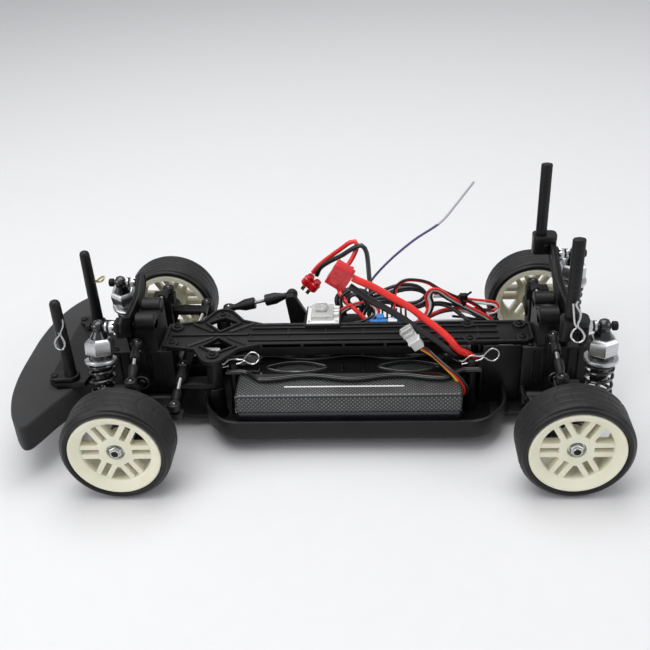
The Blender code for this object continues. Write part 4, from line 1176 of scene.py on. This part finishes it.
def case_details(end, sign):
    """Ribs, humps, bolts and ball studs on a gear case, and the panel beside its shaft."""
    piece = Piece(NYLON, STEEL, DARK)
    for y in (-15.6, 15.6):
        for x in (116, 122, 138, 144):
            piece.box((sign * x - 0.9, y - 0.6, 24), (sign * x + 0.9, y + 0.6, 50), 0, 0.3)
    for y in (9.5, -9.5):
        piece.turned((sign * 118.0, y, 71), (sign * 130.6, y, 71),
                     [(0, 0), (4.8, 0), (5.5, 0.7), (5.5, 11.9), (4.8, 12.6), (0, 12.6)], 0, 36)
    for y in (12.4, -12.4):
        for x in (114.5, 145.5):
            piece.screw((sign * x, y, 51.7), (0, 0, 1), 1.8, 2, 1.2)
    x, y, z = LINK_INNER[end]
    for side in (1, -1):
        piece.rod((x, side * y, z - 4.4), (x, side * y, z - 1), 1.7, 1, 20)
        piece.rod((x, side * y, z - 4.6), (x, side * y, z - 3.4), 2.7, 1, 6)
    piece.box(*SHAFT_PANEL[end], 0, 0.5)
    piece.make(f"{end}_case_details", "chassis")


def tower_plate(piece, half, near, far):
    """A shock tower's plate with a raised rim on its outer face."""
    outline = across_centre(half)
    low, high = sorted((near, far))
    piece.plate([outline], low + 0.6, high - 0.6, "x", 0, 0.5, 2)
    piece.plate([outline, inset(outline, 1.9)], low, high, "x", 0, 0.7, 2)


def front_tower():
    low, _ = corners("front_shock_tower")
    piece = Piece(NYLON, STEEL, DARK)
    near, far = low.x, low.x + TOWER_THICK
    tower_plate(piece, [(0, 52.2), (14.5, 52.2), (15, 58), (17, 64), (25, 69), (33, 73), (34.8, 78),
                        (33, 83),
                        (27, 84.5), (21, 81), (14, 77), (0, 76.5)], near, far)
    tower_details(piece, "front", far, 1)
    piece.make("ribbed_front_tower", "chassis", ["front_shock_tower"])


def tower_details(piece, end, face, sign):
    """Shock studs' bosses, spare mounting holes' rings and the screws that hold a tower."""
    top = PIVOTS[f"{end}_shock_pivot_left"]
    for side in (1, -1):
        root, tip = Vector((face - sign, side * top.y, top.z)), Vector((sign * 143.2, side * top.y, top.z))
        reach = (tip - root).length
        piece.turned(root, tip, [(0, 0), (4.6, 0), (4.6, 1.8), (3.4, 2.6), (3.0, reach), (0, reach)], 0, 32)
        for step in (1, 2):
            spot = Vector((face, side * (top.y - 5.6 * step), top.z - 1.7 * step))
            across = Vector((sign, 0, 0))
            piece.turned(spot - across * 0.3, spot + across, [(0.9, 0), (1.8, 0), (1.8, 0.9), (1.4, 1.1),
                                                              (0.9, 1.0)], 0, 20)
    for y in (9.5, -9.5):
        for z in (57.5, 68.0):
            piece.screw((face, y, z), (sign, 0, 0), 1.8, 2, 1.2)


def socket(piece, x, y, low, high):
    """A rear body post's socket: a tapered pocket with rounded corners, a collar and a cross bolt."""
    rings = []
    for z, reach in ((low, 3.4), (low + 1.2, 4.2), (low + 5, 5.0), (high - 3.2, 5.4), (high - 3.0, 6.0),
                     (high - 0.8, 6.0), (high, 5.4)):
        corner = min(3.6, reach * 0.7)
        loop = []
        for cx, cy, start in ((x + 5.3, y + reach, 0), (x - 10.1, y + reach, 90),
                              (x - 10.1, y - reach, 180),
                              (x + 5.3, y - reach, 270)):
            inward_x = corner if cx < x else -corner
            inward_y = corner if cy < y else -corner
            loop += arc((cx + inward_x, cy + inward_y), corner, start, start + 90, 7)
        rings.append([(u, v, z) for u, v in loop])
    piece.loft(rings)
    for side in (1, -1):
        spot = Vector((x - 3, y + side * 5.0, (low + high) / 2))
        piece.screw(spot, (0, side, 0), 1.7, 2, 1.2)


def rear_tower():
    _, high = corners("rear_shock_tower")
    piece = Piece(NYLON, STEEL, DARK)
    far = PLATE_FACE_REAR
    tower_plate(piece, [(0, 52.2), (14.5, 52.2), (17, 62), (30, 73), (46, 79), (57, 81), (60, 86), (59, 92),
                        (48, 91.5), (36, 87), (20, 82), (0, 81)], far + TOWER_THICK, far)
    tower_details(piece, "rear", far, -1)
    post_low, post_high = corners("rear_body_post_left")
    x, y = (post_low.x + post_high.x) / 2, (post_low.y + post_high.y) / 2
    for side in (1, -1):
        socket(piece, x, side * y, 82.0, high.z)
    piece.make("ribbed_rear_tower", "chassis", ["rear_shock_tower"])


def towers():
    for end, sign in ENDS:
        dress(f"{end}_gearbox", NYLON, 0.7)
        case_details(end, sign)
    front_tower()
    rear_tower()


# Deck ----------------------------------------------------------------------------------------

def deck():
    low, high = corners("top_deck")
    half_w = 12.5
    bottom = high.z - 3.0
    lobe = arc(BELLCRANK, 8.6, 35, 145, 13)
    half = [(116, 13), (103, 15.5), (95, 17.5)] + lobe + [(67, 17.5), (54, half_w), (-112, half_w),
                                                          (-117, 9)]
    outline = both_sides(half)
    window = [(81, 4.5), (70.5, 13.8), (80.8, 21), (90, 13.8)]
    windows = [window, [(x, -y) for x, y in window]]
    piece = Piece(NYLON, STEEL, DARK)
    piece.plate([outline] + windows, bottom, bottom + 1.8, bevel=0.35)
    piece.plate([outline, inset(outline, 1.7)], bottom + 0.6, high.z, bevel=0.5, steps=2)
    for loop in windows:
        piece.plate([inset(loop, -1.6), loop], bottom + 0.6, high.z, bevel=0.45, steps=2)
    for y in (-0.4, 7.0, -7.4):
        piece.box((-96, y - 1.1, bottom + 1.0), (62, y + 1.1, high.z), 0, 0.7)
    for y in (3.3, -3.9):
        for x in range(-84, 62, 24):
            piece.box((x, y - 2.6, bottom + 1.2), (x + 1.6, y + 2.6, high.z - 0.7), 0, 0.3)
    for angle in (34, -34, 146, -146):
        a = math.radians(angle)
        piece.tube([Vector((80 + 6 * math.cos(a), 6 * math.sin(a), bottom + 1.7)),
                    Vector((80 + 24 * math.cos(a), 24 * math.sin(a), bottom + 1.7))], 1.4, 0, 2)
    for side in (1, -1):
        edge = side * half_w
        inner, outer = sorted((edge - 2.2 * side, edge))
        piece.box((-60, inner, low.z), (60, outer, high.z - 0.3), 0, 0.5)
        for x in (-52, -26, 0, 26, 52):
            piece.box((x, outer - 2.5 if side > 0 else inner - 0.3, low.z + 0.5),
                      (x + 2, outer + 0.3 if side > 0 else inner + 2.5, high.z - 0.6), 0, 0.3)
    for x, y in (BELLCRANK, (110, 9.4), (-77.5, 9), (-110, 8)):
        for side in (1, -1):
            piece.turned((x, side * y, bottom + 1.2), (x, side * y, bottom + 5),
                         [(0, 0), (4.1, 0), (4.1, 1.5), (3.7, 1.9), (0, 1.9)], 0, 32)
            piece.screw((x, side * y, high.z + 0.1), (0, 0, 1), 2.1, 2, 1.3)
    piece.box((62, -1.1, bottom + 1.0), (112, 1.1, high.z), 0, 0.6)
    piece.make("ribbed_deck", "chassis", ["top_deck"])


# Chassis tub ---------------------------------------------------------------------------------

def tub_outline(depth):
    """The tub's plan, moved inwards, with rounded corners."""
    half = [(90, 33), (75, 52), (-85, 52), (-100, 33)]
    loop = both_sides(half)
    loop = inset(loop, depth) if depth else loop
    rounded = []
    for before, here, after in zip(loop[-1:] + loop[:-1], loop, loop[1:] + loop[:1]):
        b, h, a = Vector(before), Vector(here), Vector(after)
        cut = min(9.0, (h - b).length * 0.4, (a - h).length * 0.4)
        start, end = h + (b - h).normalized() * cut, h + (a - h).normalized() * cut
        for i in range(7):
            t = i / 6
            rounded.append(start * (1 - t) ** 2 + 2 * h * t * (1 - t) + end * t * t)
    return rounded


def tub():
    low, _ = corners("chassis_tub")
    floor, top = low.z, 23.0
    piece = Piece(NYLON, STEEL, DARK)
    outer = [(floor, 6.5), (floor + 0.5, 4.6), (floor + 1.6, 2.6), (floor + 3.2, 1.1), (floor + 5.2, 0.2),
             (floor + 7.5, 0.0), (top - 1.2, 0.0), (top - 0.4, 0.25), (top, 0.8)]
    inner = [(top, 1.9), (top - 0.4, 2.3), (top - 1.2, 2.5), (12.5, 2.6), (10.4, 3.6), (floor + 2.5, 6.5)]
    piece.loft([[(p.x, p.y, z) for p in tub_outline(depth)] for z, depth in outer + inner])
    tail = floor + 3.0
    for near, far in ((80.0, 152.0), (-152.0, -90.0)):
        piece.box((near, -26, floor), (far, 26, tail), 0, 1.2)
    for side in (1, -1):
        x, y = BELLCRANK
        piece.turned((x, side * y, floor + 2), (x, side * y, 31.6), [(0, 0), (6.2, 0), (5.2, 4),
                                                                     (5.0, 21.6), (4.6, 22.0), (0, 22.0)],
                                                                     0, 36)
    for x in STRAP_PINS:
        piece.turned((x, 20, floor + 2), (x, 20, 46), [(0, 0), (4.2, 0), (3.4, 8), (2.8, 12), (2.8, 35.6),
                                                       (2.2, 36.8), (0, 37)], 0, 32)
    piece.box((-86, -1.2, floor + 1.5), (72, 0.9, 27), 0, 0.5)
    for x in (-60.0, -22.0, 16.0, 55.0):
        piece.box((x, 0.2, floor + 1.5), (x + 3, 46, 14.2), 0, 0.4)
    for x in (-82.0, -52.0):
        piece.box((x, -36, floor + 1.5), (x + 4, -16, 12.7), 0, 0.5)
    for x in (14.0, 61.4):
        piece.box((x, -32, floor + 1.5), (x + 5.6, -25, 27), 0, 0.5)
    for x in (-70, -45, -20, 5, 30, 55):
        for side in (1, -1):
            wall = side * 49.6
            near, far = sorted((wall, wall - side * 1.6))
            piece.box((x, near, 10), (x + 1.6, far, 21.5), 0, 0.4)
    for x in (-138, -112, 96, 118, 142):
        for side in (1, -1):
            piece.screw((x, side * 18, floor + 0.3), (0, 0, -1), 2.2, 1, 0.4)
    piece.make("rounded_tub", "chassis", ["chassis_tub"])


# Battery and strap ---------------------------------------------------------------------------

def battery():
    low, high = corners("battery_pack")
    split = low.z + (high.z - low.z) * 0.46
    piece = Piece(WOVEN, SHRINK, WHITE, RED_PLUG)
    piece.box((low.x + 0.6, low.y + 0.25, low.z), (high.x - 0.6, high.y - 0.25, split + 3),
              1, 1.8, segments=4)
    piece.box((low.x, low.y, split), high, 0, 2.0, segments=4)
    for near, far in ((low.x, low.x + 3), (high.x - 3, high.x)):
        piece.box((near, low.y + 2, low.z + 2), (far, high.y - 2, split + 1), 1, 0.6)
    for finish, start, end in ((2, 0.4, 3.2), (3, 3.4, 5.2)):
        piece.box((high.x - 2.4, high.y - 9, split + start), (high.x + 0.1, high.y - 1.5, split + end),
                  finish, 0.2)
    # White stripes along the top: a label's white edges, and also a painted highlight standing in for the
    # softbox's reflection on the glossy top.
    for y in (21.3, 37.6):
        piece.box((-36.1, y - 0.55, high.z - 1), (37.2, y + 0.55, high.z + 0.12), 2, 0.05)
    piece.make("sleeved_battery", "chassis", ["battery_pack"])


def strap():
    low, high = corners("battery_strap")
    middle, half_length = (low.x + high.x) / 2, (high.x - low.x) / 2
    centre_y = (low.y + high.y) / 2
    waves = []
    for i in range(81):
        x = middle + half_length - 2 * half_length * i / 80
        bulge = math.cos(math.tau * (x - middle) / 54)
        swell = max(0.0, min(1.0, (70 - abs(x - middle)) / 14))
        waves.append((x, centre_y + 4.6 + (7.2 + 2.0 * bulge) * (swell * swell * (3 - 2 * swell))))
    outline = waves + [(x, 2 * centre_y - y) for x, y in reversed(waves)]
    holes = [ring((x, centre_y), 3.3, 24) for x in STRAP_PINS]
    ovals = []
    for start in (middle + 15.5, middle - 54.5):
        bow = [(start + 39 * i / 20, 5.9 * math.sin(math.pi * i / 20) ** 0.8) for i in range(21)]
        ovals.append([(x, centre_y - rise) for x, rise in bow]
                     + [(x, centre_y + rise) for x, rise in reversed(bow[1:-1])])
    piece = Piece(GLOSS)
    piece.plate([outline] + holes + ovals, low.z, low.z + 1.2, bevel=0.3)
    piece.plate([outline] + holes + ovals, low.z + 0.5, high.z, bevel=0.75, steps=3)
    for loop in ovals:
        piece.tube([Vector((x, y, high.z)) for x, y in loop], 0.6, 0, 2, closed=True)
    rim = [(p, q, high.z) for p, q in inset(outline, 1.3)]
    piece.tube([Vector(p) for p in rim], 0.75, 0, 2, closed=True)
    for x in (middle - 6.5, middle + 6.5, middle - 58, middle + 58):
        rib = [Vector((x, centre_y + across, high.z + rise))
               for across, rise in ((-6, -0.1), (0, 0.5), (6, -0.1))]
        piece.tube(rib, 0.8, 0, 2)
    piece.make("gloss_strap", "chassis", ["battery_strap"], smooth=50)
    body_clip("strap_clip_rear", (-77.4, 20, 44.4), (-0.96, -0.14, 0.16), (0.1, -0.5, 0.85), scale=0.82)
    body_clip("strap_clip_front", (71.6, 20.6, 44.4), (-0.95, -0.12, 0.16), (0.2, -0.4, 0.9), scale=0.82)


# Steering, servo and electronics -------------------------------------------------------------

def steering():
    pair(lambda p: ball_rod(p, PIVOTS["tie_rod_pivot_left"], KNUCKLE_STUD), [NYLON, GREY_STEEL],
         "steering_rod_{side}", "tie_rod_{side}", ["tie_rod_{side}"])
    tip = PIVOTS["servo_link_pivot"]
    piece = Piece(NYLON, STEEL)
    ball_rod(piece, (tip.x, tip.y - 7.6, tip.z), STEERING_STUD, ((0, 1, 0), (0, 0, 1)), 19.0, 4.0)
    piece.make("servo_drag_rod", "servo_link", ["servo_link"])
    for node in ("bellcrank_left", "bellcrank_right", "drag_link"):
        dress(node, NYLON, 0.4)
    dress("centre_shaft", BLACK_STEEL, 0.3)

    axis = PIVOTS["servo_output"]
    horn = Piece(NYLON, STEEL, DARK)
    lean = math.degrees(math.atan2(tip.z - axis.z, tip.x - axis.x))
    outline = arc((axis.x, axis.z), 8.5, lean + 100, lean + 260, 24) + arc((tip.x, tip.z),
                                                                           3.8, lean - 80, lean + 80, 14)
    horn.plate([outline], axis.y - 3.6, axis.y + 1.4, "y", 0, 0.7, 2)
    horn.plate([inset(outline, 1.8)], axis.y - 4.1, axis.y - 2, "y", 0, 0.4, 2)
    horn.screw((axis.x, axis.y - 4.0, axis.z), (0, -1, 0), 2.4, 1, 1.2)
    horn.screw((axis.x, axis.y + 1.4, axis.z), (0, 1, 0), 2.6, 2, 0.8)
    horn.rod((tip.x, axis.y - 3.5, tip.z), (tip.x, axis.y - 5.8, tip.z), 1.6, 1, 20)
    horn.make("wedge_horn", "servo_horn", ["servo_horn"])

    servo = Piece(NYLON, DARK, STEEL)
    low, high = Vector((20.6, -37, 20)), Vector((60.4, -9, 40))
    servo.box(low, high, 0, 1.2, segments=3)
    servo.box((13, -31, 27.4), (68, -28.6, 38), 0, 0.6)
    for y in (-33, -27, -15, -12):
        servo.box((20.3, y - 0.4, 21), (60.7, y + 0.4, 39.5), 1, 0.2)
    for x in (15.8, 65.2):
        for z in (30, 35.5):
            servo.screw((x, -31, z), (0, -1, 0), 1.8, 2, 1.0)
    servo.turned((31, -36, 34), (31, -38.2, 34), [(0, 0), (5.6, 0), (5.6, 1.6), (5.2, 2.2), (0, 2.2)],
                 0, 36)
    servo.make("ribbed_servo", "chassis", ["steering_servo"])


def receiver():
    piece = Piece(DARK, NYLON, WHITE, CLEAR, STEEL)
    piece.box((-10, -38, 13), (12.8, -13.4, 46), 1, 1.2, segments=3)
    piece.box((-6, -35, 44), (29, -14.5, 48), 1, 0.8, segments=3)
    piece.box((3.6, -31, 47.0), (26.4, -6.5, 56.4), 1, 0.5, segments=3)
    piece.box((4.6, -30, 56.0), (25.4, -8.0, 57.0), 2, 0.3)
    piece.box((8.2, -27.0, 56.8), (22.8, -11.5, 60.0), 3, 0.6, segments=3)
    piece.box((12.6, -25.0, 59.6), (20.4, -17.0, 62.2), 3, 0.5, segments=3)
    for i in range(3):
        piece.box((4.8, -26 + 4 * i, 56.8), (9.4, -23.2 + 4 * i, 59.4), 2, 0.3)
    for x in (6.2, 23.8):
        for y in (-28.4, -9.8):
            piece.screw((x, y, 57.0), (0, 0, 1), 0.9, 4, 0.6)
    piece.make("receiver_case", "chassis", ["radio_receiver"])


def speed_controller():
    piece = Piece(NYLON, ALUMINIUM, BLUE, WHITE, DARK)
    piece.box((-41, -40, 10), (-11, -12, 42), 0, 1.2, segments=3)
    for i in range(9):
        x = -39.6 + 3.1 * i
        piece.box((x, -38.5, 41), (x + 1.3, -13.5, 49.6), 4, 0.3)
    for x, y, finish in ((-18, -15, 2), (-30, -17, 3), (-24, -15.5, 2)):
        piece.box((x - 3, y - 3, 47), (x + 3, y + 3, 53.5), finish, 0.6)
    for x in (-22, -33):
        piece.rod((x, -20, 49), (x, -20, 55), 2.6, 2, 24)
    piece.make("finned_controller", "chassis", ["speed_controller"])


def motor():
    low, high = corners("drive_motor")
    y, z = (low.y + high.y) / 2, (low.z + high.z) / 2
    radius = (high.z - low.z) / 2
    length = high.x - low.x
    piece = Piece(ALUMINIUM, DARK, STEEL)
    start, end = (low.x, y, z), (high.x, y, z)
    can = [(0, 0.4), (6, 0.4), (6.4, 0), (14.6, 0), (15.8, 1.2), (radius, 2.4), (radius, 9.5), (15.5, 9.7),
           (15.5, 10.1), (radius, 10.3), (radius, 40.2), (14.6, 41.8), (5.2, 42), (5.2, length - 0.3),
           (4.8, length), (0, length)]
    piece.turned(start, end, can, 0, 72)
    for k in range(8):
        a = math.radians(45 * k + 20)
        spot = Vector((low.x + 5, y + 15.4 * math.cos(a), z + 15.4 * math.sin(a)))
        piece.box(spot - Vector((2.4, 2.2, 1.0)), spot + Vector((2.4, 2.2, 1.0)), 1, 0.4,
                  turn=Matrix.Rotation(a - math.pi / 2, 3, "X"))
    for k in range(2):
        a = math.radians(180 * k)
        piece.screw((low.x + 42, y + 8.5 * math.cos(a), z + 8.5 * math.sin(a)), (1, 0, 0), 1.7, 2)
    piece.make("vented_motor", "chassis", ["drive_motor"])


# Assembly ------------------------------------------------------------------------------------

camera()
studio()
main_leads(*plugs())
wheels()
bumper()
posts()
suspension()
towers()
deck()
tub()
battery()
strap()
steering()
receiver()
speed_controller()
motor()
signal_leads()
balance_connector()
zip_tie()
